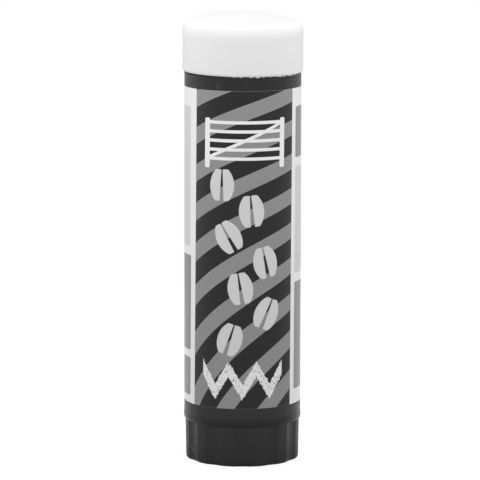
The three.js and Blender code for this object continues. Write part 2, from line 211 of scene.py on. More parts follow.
def turned(name: str, profile: Sequence[Point], angles: Sequence[float],
           shaper: Optional[Shaper] = None, sharp: float = 32.0) -> bpy.types.Object:
    """Turns a profile about Z into a closed, smooth mesh.

    Args:
        name: name of the object.
        profile: (radius, height) points, either from axis to axis or once round a section.
        angles: where the columns of vertices stand.
        shaper: moves a point, given its radius, height and angle.
        sharp: edges with a larger angle than this, in degrees, stay sharp.

    Returns:
        The new object, with its mesh in the part's own frame.
    """
    count = len(angles)
    vertices: list[tuple[float, float, float]] = []
    rings: list[list[int]] = []
    for radius, height in profile:
        if radius < TOUCH:
            rings.append([len(vertices)] * count)
            vertices.append((0.0, 0.0, height * MM))
            continue
        rings.append(list(range(len(vertices), len(vertices) + count)))
        for angle in angles:
            r, z = shaper(radius, height, angle) if shaper else (radius, height)
            vertices.append((r * math.cos(angle) * MM, r * math.sin(angle) * MM, z * MM))
    pairs = list(zip(rings, rings[1:]))
    if profile[0][0] >= TOUCH:
        pairs.append((rings[-1], rings[0]))
    faces = []
    for low, high in pairs:
        for column in range(count):
            after = (column + 1) % count
            face = [low[column], low[after], high[after], high[column]]
            face = [vertex for place, vertex in enumerate(face) if vertex != face[place - 1]]
            if len(face) > 2:
                faces.append(face)
    return solid_object(name, vertices, faces, sharp)


def solid_object(name: str, vertices: Sequence[Sequence[float]], faces: Sequence[Sequence[int]],
                 sharp: float) -> bpy.types.Object:
    """Makes a smooth mesh object whose faces all point outwards.

    Each vertex also gets the attribute "edge", which says how far it stands out of its
    surroundings: 0 on flat or hollow ground and 1 on a full edge.

    Args:
        name: name of the object and its mesh.
        vertices: places in metres.
        faces: corners of each face.
        sharp: edges with a larger angle than this, in degrees, stay sharp.

    Returns:
        The object, linked to the scene.
    """
    flat_lean, edge_lean = 0.02, 0.12
    mesh = bpy.data.meshes.new(name)
    mesh.from_pydata(vertices, [], faces)
    work = bmesh.new()
    work.from_mesh(mesh)
    bmesh.ops.recalc_face_normals(work, faces=work.faces)
    work.normal_update()
    stands = []
    for vertex in work.verts:
        ends = [edge.other_vert(vertex).co for edge in vertex.link_edges]
        drops = [vertex.normal.dot((vertex.co - end).normalized()) for end in ends]
        lean = sum(drops) / max(1, len(drops))
        stands.append(clamped((lean - flat_lean) / (edge_lean - flat_lean)))
    work.to_mesh(mesh)
    work.free()
    mesh.attributes.new("edge", "FLOAT", "POINT").data.foreach_set("value", stands)
    mesh.shade_smooth()
    mesh.set_sharp_from_angle(angle=math.radians(sharp))
    piece = bpy.data.objects.new(name, mesh)
    bpy.context.collection.objects.link(piece)
    return piece


def box_mm(node: str) -> tuple[Vector, Vector]:
    """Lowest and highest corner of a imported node, in millimetres."""
    low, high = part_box(node)
    return Vector(low) / MM, Vector(high) / MM


def stand_in(piece: bpy.types.Object, node: str, body: str,
             material: bpy.types.Material) -> None:
    """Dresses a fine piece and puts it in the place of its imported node.

    Args:
        piece: the new piece.
        node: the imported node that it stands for.
        body: the body that it moves with.
        material: its finish.
    """
    piece.data.materials.append(material)
    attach(piece, body)
    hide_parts(node)
    LOG.info("%s: %d vertices, on %s", piece.name, len(piece.data.vertices), body)


# Shader building

def grey(level: float) -> tuple[float, float, float, float]:
    """A neutral colour."""
    return (level, level, level, 1.0)


class Shader:
    """Adds nodes to one shader tree and joins them."""

    def __init__(self, tree: bpy.types.NodeTree) -> None:
        """Takes the tree to build in."""
        self.tree = tree

    def node(self, kind: str, **settings: object) -> bpy.types.Node:
        """Adds a node.

        Args:
            kind: the node's type.
            settings: its properties.

        Returns:
            The node.
        """
        made = self.tree.nodes.new(kind)
        for name, value in settings.items():
            setattr(made, name, value)
        return made

    def put(self, value: Value, socket: Socket) -> None:
        """Links a socket to an input, or sets the input's own value.

        Args:
            value: the socket, or the plain value.
            socket: the input.
        """
        if isinstance(value, Socket):
            self.tree.links.new(value, socket)
        else:
            socket.default_value = value

    def feed(self, node: bpy.types.Node, values: Sequence[Value]) -> Socket:
        """Puts values into a node's first inputs.

        Args:
            node: the node.
            values: what goes in, in order.

        Returns:
            The node's first output.
        """
        for value, socket in zip(values, node.inputs):
            self.put(value, socket)
        return node.outputs[0]

    def math(self, operation: str, *values: Value) -> Socket:
        """Result of a Math node."""
        return self.feed(self.node("ShaderNodeMath", operation=operation), values)

    def plus(self, *values: Value) -> Socket:
        """Sum of several values."""
        return functools.reduce(lambda a, b: self.math("ADD", a, b), values)

    def minus(self, value: Value, taken: Value) -> Socket:
        """A value less another."""
        return self.math("SUBTRACT", value, taken)

    def times(self, *values: Value) -> Socket:
        """Product of several values."""
        return functools.reduce(lambda a, b: self.math("MULTIPLY", a, b), values)

    def length(self, *ways: Value) -> Socket:
        """Length of a way that has two parts."""
        return self.math("SQRT", self.plus(*[self.math("POWER", way, 2.0) for way in ways]))

    def step(self, value: Value, start: Value, end: Value) -> Socket:
        """Rises smoothly as a value passes from one level to another.

        Args:
            value: the value.
            start: where the result is still 0.
            end: where it is 1, above or below start.

        Returns:
            The result.
        """
        made = self.node("ShaderNodeMapRange", interpolation_type="SMOOTHSTEP")
        for name, given in (("Value", value), ("From Min", start), ("From Max", end)):
            self.put(given, made.inputs[name])
        return made.outputs["Result"]

    def split(self, vector: Value) -> tuple[Socket, ...]:
        """Takes a vector apart.

        Args:
            vector: the vector.

        Returns:
            Its three parts.
        """
        made = self.node("ShaderNodeSeparateXYZ")
        self.feed(made, [vector])
        return tuple(made.outputs)

    def join(self, x: Value, y: Value, z: Value = 0.0) -> Socket:
        """A vector made of three parts."""
        return self.feed(self.node("ShaderNodeCombineXYZ"), (x, y, z))

    def stretch(self, vector: Value, scale: Sequence[float]) -> Socket:
        """A vector with each part scaled."""
        return self.feed(self.node("ShaderNodeVectorMath", operation="MULTIPLY"), (vector, scale))

    def noise(self, vector: Value, scale: Value, detail: float = 2.0) -> Socket:
        """A smooth random value round 0.5.

        Args:
            vector: where it is looked up.
            scale: how fine it is.
            detail: how many finer layers lie on it.

        Returns:
            The value.
        """
        made = self.node("ShaderNodeTexNoise")
        for name, given in (("Vector", vector), ("Scale", scale), ("Detail", detail)):
            self.put(given, made.inputs[name])
        return made.outputs["Fac"]

    def blend(self, share: Value, before: Value, after: Value) -> Socket:
        """Mixes two colours.

        Args:
            share: how much of the second there is, from 0 to 1.
            before: the first colour.
            after: the second colour.

        Returns:
            The mixed colour.
        """
        made = self.node("ShaderNodeMix", data_type="RGBA")
        for value, socket in ((share, made.inputs[0]), (before, made.inputs[6]), (after, made.inputs[7])):
            self.put(value, socket)
        return made.outputs[2]

    def group(self, tree: bpy.types.NodeTree, **values: Value) -> bpy.types.Node:
        """Places a node group.

        Args:
            tree: the group.
            values: each named as its input, with small letters.

        Returns:
            The node.
        """
        made = self.node("ShaderNodeGroup", node_tree=tree)
        for name, value in values.items():
            self.put(value, made.inputs[name.replace("_", " ").capitalize()])
        return made

    def place(self) -> Socket:
        """Place on the piece, in millimetres."""
        return self.stretch(self.node("ShaderNodeTexCoord").outputs["Object"], (1 / MM,) * 3)

    def unrolled(self, place: Value, radius: float) -> tuple[Socket, Socket]:
        """Lays a round piece out flat.

        Args:
            place: place on the piece.
            radius: of the piece.

        Returns:
            The way round from the front, to the right, and the height.
        """
        x, y, z = self.split(place)
        return self.times(self.math("ARCTAN2", x, self.times(y, -1.0)), radius), z

    def leaned(self, across: Value, up: Value, lean: Value) -> tuple[Socket, Socket]:
        """Measures a place along a shape that leans.

        Args:
            across: way across from the shape's middle.
            up: way up from it.
            lean: how far the shape is turned, in radians.

        Returns:
            The way along the shape and the way up it.
        """
        cos, sin = self.math("COSINE", lean), self.math("SINE", lean)
        along = self.plus(self.times(across, cos), self.times(up, sin))
        return along, self.minus(self.times(up, cos), self.times(across, sin))

    def raise_by(self, height: Value, surface: bpy.types.Node) -> None:
        """Bumps a surface.

        Args:
            height: height of the bumps in millimetres.
            surface: the node of the surface.
        """
        bump = self.node("ShaderNodeBump")
        bump.inputs["Distance"].default_value = MM
        self.put(height, bump.inputs["Height"])
        self.put(bump.outputs[0], surface.inputs["Normal"])


class GroupShader(Shader):
    """Builds a shader node group with named inputs and outputs."""

    def __init__(self, name: str, inputs: dict[str, Optional[float]], outputs: Sequence[str]) -> None:
        """Makes the group.

        Args:
            name: name of the group.
            inputs: each input's default value, with None for a vector.
            outputs: names of the values that the group puts out.
        """
        super().__init__(bpy.data.node_groups.new(name, "ShaderNodeTree"))
        for label, default in inputs.items():
            kind = "NodeSocketVector" if default is None else "NodeSocketFloat"
            socket = self.tree.interface.new_socket(label, in_out="INPUT", socket_type=kind)
            if default is not None:
                socket.default_value = default
        for label in outputs:
            self.tree.interface.new_socket(label, in_out="OUTPUT", socket_type="NodeSocketFloat")
        self.inputs = self.node("NodeGroupInput").outputs
        self.outputs = self.node("NodeGroupOutput").inputs


class MotifShader(GroupShader):
    """Builds the node group of a printed motif, which has a size and may lean."""

    def __init__(self, name: str) -> None:
        """Makes the group and measures a place sideways and ahead from the motif's middle.

        Args:
            name: name of the group.
        """
        inputs = {"Across": 0.0, "Up": 0.0, "Middle across": 0.0, "Middle up": 0.0, "Size": 1.0, "Lean": 0.0}
        super().__init__(name, inputs, ["Mask"])
        given = self.inputs
        across = self.math("DIVIDE", self.minus(given["Across"], given["Middle across"]), given["Size"])
        up = self.math("DIVIDE", self.minus(given["Up"], given["Middle up"]), given["Size"])
        along, self.ahead = self.leaned(across, up, given["Lean"])
        self.side = self.math("ABSOLUTE", along)

    def disc(self, side: float, ahead: float, radius: float, blur: float) -> Socket:
        """Mask of a circle.

        Args:
            side: its middle, sideways.
            ahead: its middle, ahead.
            radius: its radius.
            blur: half the width of its soft edge.

        Returns:
            The mask.
        """
        distance = self.length(self.minus(self.side, side), self.minus(self.ahead, ahead))
        return self.step(distance, radius + blur, radius - blur)


@functools.cache
def moulded_skin() -> bpy.types.NodeTree:
    """Group: the skin of a moulding, with fine grain, slow ripple and uneven gloss.

    Returns:
        The group, with inputs Place, Grain and Ripple, and outputs Height and Gloss.
    """
    flow = (1.0, 1.0, 0.45)
    inputs = {"Place": None, "Grain": 0.002, "Ripple": 0.01}
    group = GroupShader("moulded_skin", inputs, ["Height", "Gloss"])
    place = group.inputs["Place"]
    grain = group.times(group.noise(place, scale=4.5, detail=3.0), group.inputs["Grain"])
    ripple = group.times(group.noise(place, scale=0.16, detail=1.0), group.inputs["Ripple"])
    group.put(group.plus(grain, ripple), group.outputs["Height"])
    gloss = group.noise(group.stretch(place, flow), scale=0.5, detail=4.0)
    group.put(gloss, group.outputs["Gloss"])
    return group.tree


@functools.cache
def scuff_marks() -> bpy.types.NodeTree:
    """Group: long thin scuffs that lie in one direction.

    Returns:
        The group, with inputs Place, Lean and Amount, and output Mask.
    """
    no_scuffs, most_scuffs, edge = 0.79, 0.16, 0.05
    stroke, patch_start, patch_full = (3.4, 3.4, 0.12), 0.42, 0.62
    group = GroupShader("scuff_marks", {"Place": None, "Lean": 0.5, "Amount": 0.3}, ["Mask"])
    turn = group.node("ShaderNodeVectorRotate", rotation_type="EULER_XYZ")
    group.put(group.inputs["Place"], turn.inputs["Vector"])
    group.put(group.join(group.inputs["Lean"], group.inputs["Lean"]), turn.inputs["Rotation"])
    lines = group.noise(group.stretch(turn.outputs[0], stroke), scale=1.0)
    patches = group.noise(group.inputs["Place"], scale=0.11, detail=1.0)
    limit = group.minus(no_scuffs, group.times(group.inputs["Amount"], most_scuffs))
    line = group.step(lines, limit, group.plus(limit, edge))
    group.put(group.times(line, group.step(patches, patch_start, patch_full)), group.outputs["Mask"])
    return group.tree


@functools.cache
def speck_dots() -> bpy.types.NodeTree:
    """Group: small separate dots, such as dust or pinholes in a print.

    Returns:
        The group, with inputs Place, Spacing, Size and Share, and output Mask.
    """
    smallest, hard_share = 0.35, 0.5
    inputs = {"Place": None, "Spacing": 2.0, "Size": 0.06, "Share": 0.3}
    group = GroupShader("speck_dots", inputs, ["Mask"])
    cells = group.node("ShaderNodeTexVoronoi", feature="F1")
    group.put(group.inputs["Place"], cells.inputs["Vector"])
    group.put(group.math("DIVIDE", 1.0, group.inputs["Spacing"]), cells.inputs["Scale"])
    chance, growth, _ = group.split(cells.outputs["Color"])
    reach = group.math("DIVIDE", group.inputs["Size"], group.inputs["Spacing"])
    size = group.times(reach, group.plus(growth, smallest))
    dot = group.step(cells.outputs["Distance"], size, group.times(size, hard_share))
    chosen = group.math("LESS_THAN", chance, group.inputs["Share"])
    group.put(group.times(dot, chosen), group.outputs["Mask"])
    return group.tree


@functools.cache
def rubbed_edges() -> bpy.types.NodeTree:
    """Group: where a piece's edges are rubbed by handling; on the knob this also serves as a painted
    highlight.

    Returns:
        The group, with inputs Place, Edge and Amount, and output Mask.
    """
    unworn, worn = 0.38, 0.68
    group = GroupShader("rubbed_edges", {"Place": None, "Edge": 0.0, "Amount": 0.5}, ["Mask"])
    broken = group.step(group.noise(group.inputs["Place"], scale=0.9, detail=5.0), unworn, worn)
    group.put(group.times(group.inputs["Edge"], broken, group.inputs["Amount"]), group.outputs["Mask"])
    return group.tree


@functools.cache
def rounded_bar() -> bpy.types.NodeTree:
    """Group: a bar or block with rounded corners, on a surface that is laid out flat.

    Returns:
        The group, with the bar's middle, half sizes, corner radius, lean, blur and the thickness of
        its outline, and outputs Mask, for the whole bar, and Outline.
    """
    inputs = {"Across": 0.0, "Up": 0.0, "Middle across": 0.0, "Middle up": 0.0, "Half width": 1.0,
              "Half height": 1.0, "Corner": 0.2, "Lean": 0.0, "Blur": 0.06, "Line": 0.3}
    group = GroupShader("rounded_bar", inputs, ["Mask", "Outline"])
    given = group.inputs
    along, over = group.leaned(group.minus(given["Across"], given["Middle across"]),
                               group.minus(given["Up"], given["Middle up"]), given["Lean"])
    past = []
    for offset, half in ((along, given["Half width"]), (over, given["Half height"])):
        inner = group.minus(half, given["Corner"])
        past.append(group.minus(group.math("ABSOLUTE", offset), inner))
    outside = group.length(*[group.math("MAXIMUM", way, 0.0) for way in past])
    inside = group.math("MINIMUM", group.math("MAXIMUM", *past), 0.0)
    gap = group.minus(group.plus(outside, inside), given["Corner"])
    off = group.minus(group.math("ABSOLUTE", gap), group.math("DIVIDE", given["Line"], 2.0))
    for distance, output in ((gap, "Mask"), (off, "Outline")):
        mask = group.step(distance, given["Blur"], group.times(given["Blur"], -1.0))
        group.put(mask, group.outputs[output])
    return group.tree


@functools.cache
def print_hoof() -> bpy.types.NodeTree:
    """Group: a printed cloven hoof print, two claws with a gap between them.

    Returns:
        The group, with the print's middle, size and lean, and output Mask.
    """
    blur, cleft, narrowing = 0.012, 0.055, 0.05
    flank, toe = (-0.44, 0.0, 0.94), (0.16, 0.02, 0.62)
    group = MotifShader("print_hoof")
    edge = group.plus(cleft, group.times(group.ahead, -narrowing))
    claw_side = group.step(group.side, group.minus(edge, blur), group.plus(edge, blur))
    claw = group.times(group.disc(*flank, blur), group.disc(*toe, blur))
    group.put(group.times(claw, claw_side), group.outputs["Mask"])
    return group.tree


@functools.cache
def print_arrowhead() -> bpy.types.NodeTree:
    """Group: a printed triangle that points up.

    Returns:
        The group, with the triangle's middle, size and lean, and output Mask.
    """
    slant, outside, inside = 0.62, 0.53, 0.47
    group = MotifShader("print_arrowhead")
    slope = group.plus(group.side, group.times(group.ahead, slant))
    flanks = group.step(slope, outside, inside)
    group.put(group.times(flanks, group.step(group.ahead, -outside, -inside)), group.outputs["Mask"])
    return group.tree


# Finishes

@dataclass(frozen=True)
class Blemish:
    """One mark on a moulding: a scratch, a speck, or a ring left by the mould.

    It is laid out as the label is: across from the front's middle, to the right, and up from the
    foot. Its tone goes from 0 to 1, where it is the worn plastic's, and its relief is in millimetres.
    """

    across: float
    up: float
    half_length: float
    half_width: float
    lean: float = 0.0
    ring: bool = False
    line: float = 0.3
    blur: float = 0.06
    tone: float = 0.0
    relief: float = 0.0

    def mask(self, shader: Shader, across: Value, up: Value) -> Socket:
        """Shows where the mark is.

        Args:
            shader: the shader being built.
            across: way round the piece.
            up: height on the piece.

        Returns:
            A mask, 1 on the mark and 0 off it.
        """
        made = shader.group(rounded_bar(), across=across, up=up, middle_across=self.across,
                            middle_up=self.up, half_width=self.half_length, half_height=self.half_width,
                            corner=min(self.half_length, self.half_width), lean=self.lean,
                            blur=self.blur, line=self.line)
        return made.outputs["Outline" if self.ring else "Mask"]


def let_light_in(surface: bpy.types.Node, weight: float, reach: float,
                 spread: tuple[float, float, float] = (1.0, 1.0, 1.0)) -> None:
    """Makes a surface milky.

    Args:
        surface: its Principled node.
        weight: how much of the light goes in.
        reach: how far it goes, in millimetres.
        spread: its share of that in red, green and blue.
    """
    surface.inputs["Subsurface Weight"].default_value = weight
    surface.inputs["Subsurface Radius"].default_value = spread
    surface.inputs["Subsurface Scale"].default_value = reach * MM


@dataclass(frozen=True)
class Finish:
    """A finish with a name, which becomes a material."""

    name: str

    def material(self) -> bpy.types.Material:
        """Builds the finish.

        Returns:
            The material.
        """
        made = bpy.data.materials.new(self.name)
        made.use_nodes = True
        self.dress(Shader(made.node_tree), made.node_tree.nodes["Principled BSDF"])
        return made

    def dress(self, shader: Shader, surface: bpy.types.Node) -> None:
        """Gives the surface its colour, gloss and relief."""
        raise NotImplementedError


@dataclass(frozen=True)
class MouldedPlastic(Finish):
    """Finish of a moulded plastic piece. Sizes are in millimetres."""

    level: float
    worn_level: float
    roughness: float
    gloss_spread: float = 0.1
    grain: float = 0.002
    ripple: float = 0.015
    edge_wear_and_highlight: float = 0.5
    scuffs: float = 0.3
    scuff_lean: float = 0.7
    crossed_lean: float = -0.9
    crossed_share: float = 0.8
    scuff_tone: float = 0.5
    scuff_depth: float = 0.003
    scuff_dulling: float = 0.12
    dust: float = 0.05
    dust_level: float = 0.5
    dust_spacing: float = 3.0
    dust_size: float = 0.07
    milkiness: float = 0.0
    milky_reach: float = 1.5
    specular: float = 0.5
    unrolled_radius: float = 17.0
    blemishes: tuple[Blemish, ...] = ()

    def dress(self, shader: Shader, surface: bpy.types.Node) -> None:
        """Gives the surface a moulded skin with wear, scuffs, dust, single marks and any painted shade.

        Args:
            shader: the shader being built.
            surface: its Principled node.
        """
        place = shader.place()
        skin = shader.group(moulded_skin(), place=place, grain=self.grain, ripple=self.ripple)
        edge = shader.node("ShaderNodeAttribute", attribute_name="edge").outputs["Fac"]
        rubbed = shader.group(rubbed_edges(), place=place, edge=edge, amount=self.edge_wear_and_highlight).outputs[0]
        scuffed = self.scuffed(shader, place)
        dust = shader.group(speck_dots(), place=place, spacing=self.dust_spacing, size=self.dust_size,
                            share=self.dust).outputs[0]
        tone = shader.math("MAXIMUM", rubbed, shader.times(scuffed, self.scuff_tone))
        height = shader.minus(skin.outputs["Height"], shader.times(scuffed, self.scuff_depth))
        across, up = shader.unrolled(place, self.unrolled_radius)
        for blemish in self.blemishes:
            mask = blemish.mask(shader, across, up)
            tone = shader.math("MAXIMUM", tone, shader.times(mask, blemish.tone))
            height = shader.plus(height, shader.times(mask, blemish.relief))
        colour = shader.blend(tone, grey(self.level), grey(self.worn_level))
        colour = shader.blend(dust, colour, grey(self.dust_level))
        shader.put(self.with_painted_shade(shader, place, colour), surface.inputs["Base Color"])
        gloss = shader.times(shader.minus(skin.outputs["Gloss"], 0.5), self.gloss_spread)
        rough = shader.plus(self.roughness, gloss, shader.times(scuffed, self.scuff_dulling))
        shader.put(rough, surface.inputs["Roughness"])
        shader.raise_by(height, surface)
        surface.inputs["Specular IOR Level"].default_value = self.specular
        if self.milkiness:
            let_light_in(surface, self.milkiness, self.milky_reach)

    def scuffed(self, shader: Shader, place: Value) -> Socket:
        """Lays scuffs in two directions.

        Args:
            shader: the shader being built.
            place: place on the piece.

        Returns:
            The scuffs' mask.
        """
        ways = ((self.scuff_lean, self.scuffs), (self.crossed_lean, self.scuffs * self.crossed_share))
        return shader.math("MAXIMUM", *[
            shader.group(scuff_marks(), place=place, lean=lean, amount=amount).outputs[0]
            for lean, amount in ways])

    def with_painted_shade(self, shader: Shader, place: Value, colour: Value) -> Value:
        """The colour with large soft painted shades in it; a plain piece has none."""
        return colour


@dataclass(frozen=True)
class CapPlastic(MouldedPlastic):
    """The cap's finish: milky white plastic, with painted shade on the skirt where the black neck stands
    behind it.
    """

    neck_top: float = 128.0
    neck_base: float = 124.2
    painted_neck_shade: float = 0.165
    neck_shade_level: float = 0.1
    neck_slant: float = 0.03

    def with_painted_shade(self, shader: Shader, place: Value, colour: Value) -> Value:
        """Paints shade on the skirt below the neck's rim, where the neck stands behind it.

        Args:
            shader: the shader being built.
            place: place on the cap.
            colour: the wall's own colour.

        Returns:
            The colour with the neck's painted shade.
        """
        _, back, up = shader.split(place)
        level = shader.minus(up, shader.times(back, self.neck_slant))
        # Painted shade: the skirt is drawn darker below the neck's rim.
        share = shader.times(shader.step(level, self.neck_top, self.neck_base), self.painted_neck_shade)
        return shader.blend(share, colour, grey(self.neck_shade_level))


@dataclass(frozen=True)
class TubePlastic(MouldedPlastic):
    """The tube's finish: its collar is a little lighter, with painted shade along its underside."""

    collar_top: float = 17.3
    collar_lightening: float = 0.073
    lightening_level: float = 0.1
    under_top: float = 14.5
    under_base: float = 13.4
    painted_under_shade: float = 0.65

    def with_painted_shade(self, shader: Shader, place: Value, colour: Value) -> Value:
        """Lightens the collar's belly and paints shade along its underside.

        Args:
            shader: the shader being built.
            place: place on the tube.
            colour: the tube's own colour.

        Returns:
            The colour with the collar's two bands.
        """
        up = shader.split(place)[2]
        lightened = shader.times(shader.math("LESS_THAN", up, self.collar_top), self.collar_lightening)
        # Painted shade: the collar's underside is drawn darker, where it faces down.
        under = shader.times(shader.step(up, self.under_top, self.under_base), self.painted_under_shade)
        return shader.blend(under, shader.blend(lightened, colour, grey(self.lightening_level)), grey(0.0))


@dataclass(frozen=True)
class CastWax(Finish):
    """Finish of the wax: pale, waxy and a little uneven from casting."""

    name: str = "white_wax"
    level: float = 0.8
    pale_tint: tuple[float, float, float] = (1.0, 0.985, 0.93)
    warm_tint: tuple[float, float, float] = (0.97, 0.945, 0.88)
    pale_clouds: float = 0.35
    warm_clouds: float = 0.7
    pit_shade_level: float = 0.45
    pit_shade: float = 0.35
    roughness: float = 0.48
    cloud_dulling: float = 0.12
    smear_polish: float = 0.1
    cloud_relief: float = 0.06
    fine_relief: float = 0.012
    pit_relief: float = -0.05
    smear_relief: float = -0.01
    milkiness: float = 0.35
    milky_reach: float = 2.0
    milky_spread: tuple[float, float, float] = (1.0, 0.9, 0.75)

    def tinted(self, tint: tuple[float, float, float]) -> tuple[float, ...]:
        """The wax's own colour in a tint."""
        return (*(self.level * part for part in tint), 1.0)

    def dress(self, shader: Shader, surface: bpy.types.Node) -> None:
        """Gives the surface the clouds, pits and smears of cast wax.

        Args:
            shader: the shader being built.
            surface: its Principled node.
        """
        place = shader.place()
        clouds = shader.noise(place, scale=0.22, detail=4.0)
        fine = shader.noise(place, scale=2.2, detail=4.0)
        pits = shader.group(speck_dots(), place=place, spacing=1.6, size=0.12, share=0.25).outputs[0]
        smears = shader.group(scuff_marks(), place=place, lean=0.1, amount=0.9).outputs[0]
        warmth = shader.step(clouds, self.pale_clouds, self.warm_clouds)
        colour = shader.blend(warmth, self.tinted(self.pale_tint), self.tinted(self.warm_tint))
        # Painted shade: the pits are drawn darker.
        colour = shader.blend(shader.times(pits, self.pit_shade), colour, grey(self.pit_shade_level))
        shader.put(colour, surface.inputs["Base Color"])
        rough = shader.plus(self.roughness, shader.times(clouds, self.cloud_dulling),
                            shader.times(smears, -self.smear_polish))
        shader.put(rough, surface.inputs["Roughness"])
        reliefs = ((clouds, self.cloud_relief), (fine, self.fine_relief),
                   (pits, self.pit_relief), (smears, self.smear_relief))
        shader.raise_by(shader.plus(*[shader.times(mask, relief) for mask, relief in reliefs]), surface)
        let_light_in(surface, self.milkiness, self.milky_reach, self.milky_spread)


class Ink(Enum):
    """Inks of the label, as the level of grey that each prints."""

    BLACK = 0.009
    MID = 0.265
    PALE = 0.64
    WHITE = 0.84


@dataclass(frozen=True)
class LabelFilm(Finish):
    """Finish of the label: satin film with a generic farm design printed on it.

    The print is laid out on the unrolled film: across from the front's middle, to the right, and
    up from the foot that the crayon stands on.
    """

    name: str = "label_film_print"
    unrolled_radius: float = 17.0
    base: float = 17.28
    top: float = 109.83
    panel_left: float = -15.7
    panel_right: float = 16.5
    lean: float = 0.0107
    middle_up: float = 63.0
    roughness: float = 0.34
    gloss_spread: float = 0.12
    scuff_dulling: float = 0.1
    specular: float = 0.25
    pinhole_share: float = 0.55
    # The grey line along the film's cut edges: part bare film, part painted highlight.
    cut_width: float = 0.1
    cut_blur: float = 0.06
    painted_edge_level: float = 0.3
    painted_edge_share: float = 0.45

    def dress(self, shader: Shader, surface: bpy.types.Node) -> None:
        """Prints the film and gives it its satin skin.

        Args:
            shader: the shader being built.
            surface: its Principled node.
        """
        place = shader.place()
        across, up = shader.unrolled(place, self.unrolled_radius)
        across = shader.minus(across, shader.times(shader.minus(up, self.middle_up), self.lean))
        press = Press(shader, across, up, place)
        press.fill(Ink.WHITE)
        for draw in (self.draw_panel, self.draw_gate, self.draw_trail, self.draw_chalk,
                     self.draw_sides, self.draw_back):
            draw(press)
        shader.put(self.aged(shader, place, up, press.colour), surface.inputs["Base Color"])
        skin = shader.group(moulded_skin(), place=place, grain=0.001, ripple=0.03)
        scuffs = shader.group(scuff_marks(), place=place, lean=0.4, amount=0.35).outputs[0]
        gloss = shader.times(shader.minus(skin.outputs["Gloss"], 0.5), self.gloss_spread)
        rough = shader.plus(self.roughness, gloss, shader.times(scuffs, self.scuff_dulling))
        shader.put(rough, surface.inputs["Roughness"])
        shader.raise_by(skin.outputs["Height"], surface)
        surface.inputs["Specular IOR Level"].default_value = self.specular

    def aged(self, shader: Shader, place: Value, up: Value, colour: Value) -> Socket:
        """Adds pinholes to the print, and a grey line along the film's cut edges, part bare film and part
        painted highlight.

        Args:
            shader: the shader being built.
            place: place on the label.
            up: height on the label.
            colour: the clean print.

        Returns:
            The aged print.
        """
        pinholes = shader.group(speck_dots(), place=place, spacing=2.4, size=0.07, share=0.12).outputs[0]
        colour = shader.blend(shader.times(pinholes, self.pinhole_share), colour, grey(Ink.WHITE.value))
        # A grey line along the top and bottom edges: part bare film, part painted highlight of the cut edge.
        high, low = self.top - self.cut_width, self.base + self.cut_width
        cut = shader.math("MAXIMUM", shader.step(up, high - self.cut_blur, high),
                          shader.step(up, low, low - self.cut_blur))
        return shader.blend(shader.times(cut, self.painted_edge_share), colour, grey(self.painted_edge_level))

    def draw_panel(self, press: "Press") -> None:
        """Prints the dark front panel and the wide arcs that sweep across it.

        Args:
            press: the label's press.
        """
        bleed = 0.4
        half_width = (self.panel_right - self.panel_left) / 2
        half_height = (self.top - self.base) / 2
        panel = press.bar((self.panel_left + half_width, self.base + half_height),
                          (half_width, half_height + bleed), corner=0.9)
        press.ink(panel, Ink.BLACK)
        press.ink(press.shader.times(panel, press.arcs((44.0, -14.0), pitch=13.4)), Ink.MID)

    def draw_gate(self, press: "Press") -> None:
        """Prints a field gate of five rails, two posts and a brace near the top of the panel.

        Args:
            press: the label's press.
        """
        across, up = 0.4, 95.5
        half_width, rail_reach, brace_reach, half_thickness = 11.6, 5.225, 5.208, 0.46
        post_half_width, post_half_height, post_sink = 0.85, 7.2, 0.8
        for share in (-1.0, -0.5, 0.0, 0.5, 1.0):
            rail = (across, up + rail_reach * share)
            press.ink(press.bar(rail, (half_width, half_thickness), corner=0.2), Ink.WHITE)
        for side in (-1, 1):
            post = (across + side * half_width, up - post_sink)
            press.ink(press.bar(post, (post_half_width, post_half_height), corner=0.5), Ink.WHITE)
        half_length = math.hypot(brace_reach, half_width)
        lean = math.atan2(brace_reach, half_width)
        press.ink(press.bar((across, up), (half_length, half_thickness), corner=0.2, lean=lean), Ink.WHITE)

    def draw_trail(self, press: "Press") -> None:
        """Prints a trail of cloven hoof prints that climbs the panel in a gentle S.

        Args:
            press: the label's press.
        """
        prints, size, foot, climb = 7, 7.4, 37.5, 45.0
        middle, sway, stride, bend = 0.8, 3.0, 4.3, 0.8 * FULL_TURN
        path_lean, toe_in = 0.42, 0.12
        for index in range(prints):
            share = index / (prints - 1)
            side = 1 if index % 2 else -1
            across = middle + sway * math.sin(share * bend) + side * stride
            lean = -path_lean * math.cos(share * bend) - side * toe_in
            press.ink(press.hoof((across, foot + climb * share), size, lean), Ink.PALE)

    def draw_chalk(self, press: "Press") -> None:
        """Prints a zigzag of crayon across the foot of the panel."""
        press.ink(press.zigzag((0.4, 25.6), half_length=12.4, pitch=8.2, rise=3.4, thickness=2.3), Ink.WHITE)

    def draw_sides(self, press: "Press") -> None:
        """Prints plain blocks to the left and right of the panel, and a column of dots.

        Args:
            press: the label's press.
        """
        blocks = (
            (-25.6, 84.0, 6.9, 20.4, Ink.PALE),
            (-25.3, 47.0, 7.2, 14.0, Ink.MID),
            (-25.3, 25.2, 7.2, 5.6, Ink.MID),
            (25.7, 97.0, 7.2, 7.4, Ink.MID),
            (25.7, 71.4, 7.2, 15.6, Ink.PALE),
            (25.7, 37.4, 7.2, 15.8, Ink.MID),
        )
        for across, up, half_width, half_height, ink in blocks:
            press.ink(press.bar((across, up), (half_width, half_height), corner=0.7), ink)
        dots, first_dot, dot_pitch, dot_radius = 5, 60.4, 5.5, 0.7
        for index in range(dots):
            middle = (25.7, first_dot + dot_pitch * index)
            press.ink(press.bar(middle, (dot_radius, dot_radius), corner=dot_radius), Ink.BLACK)

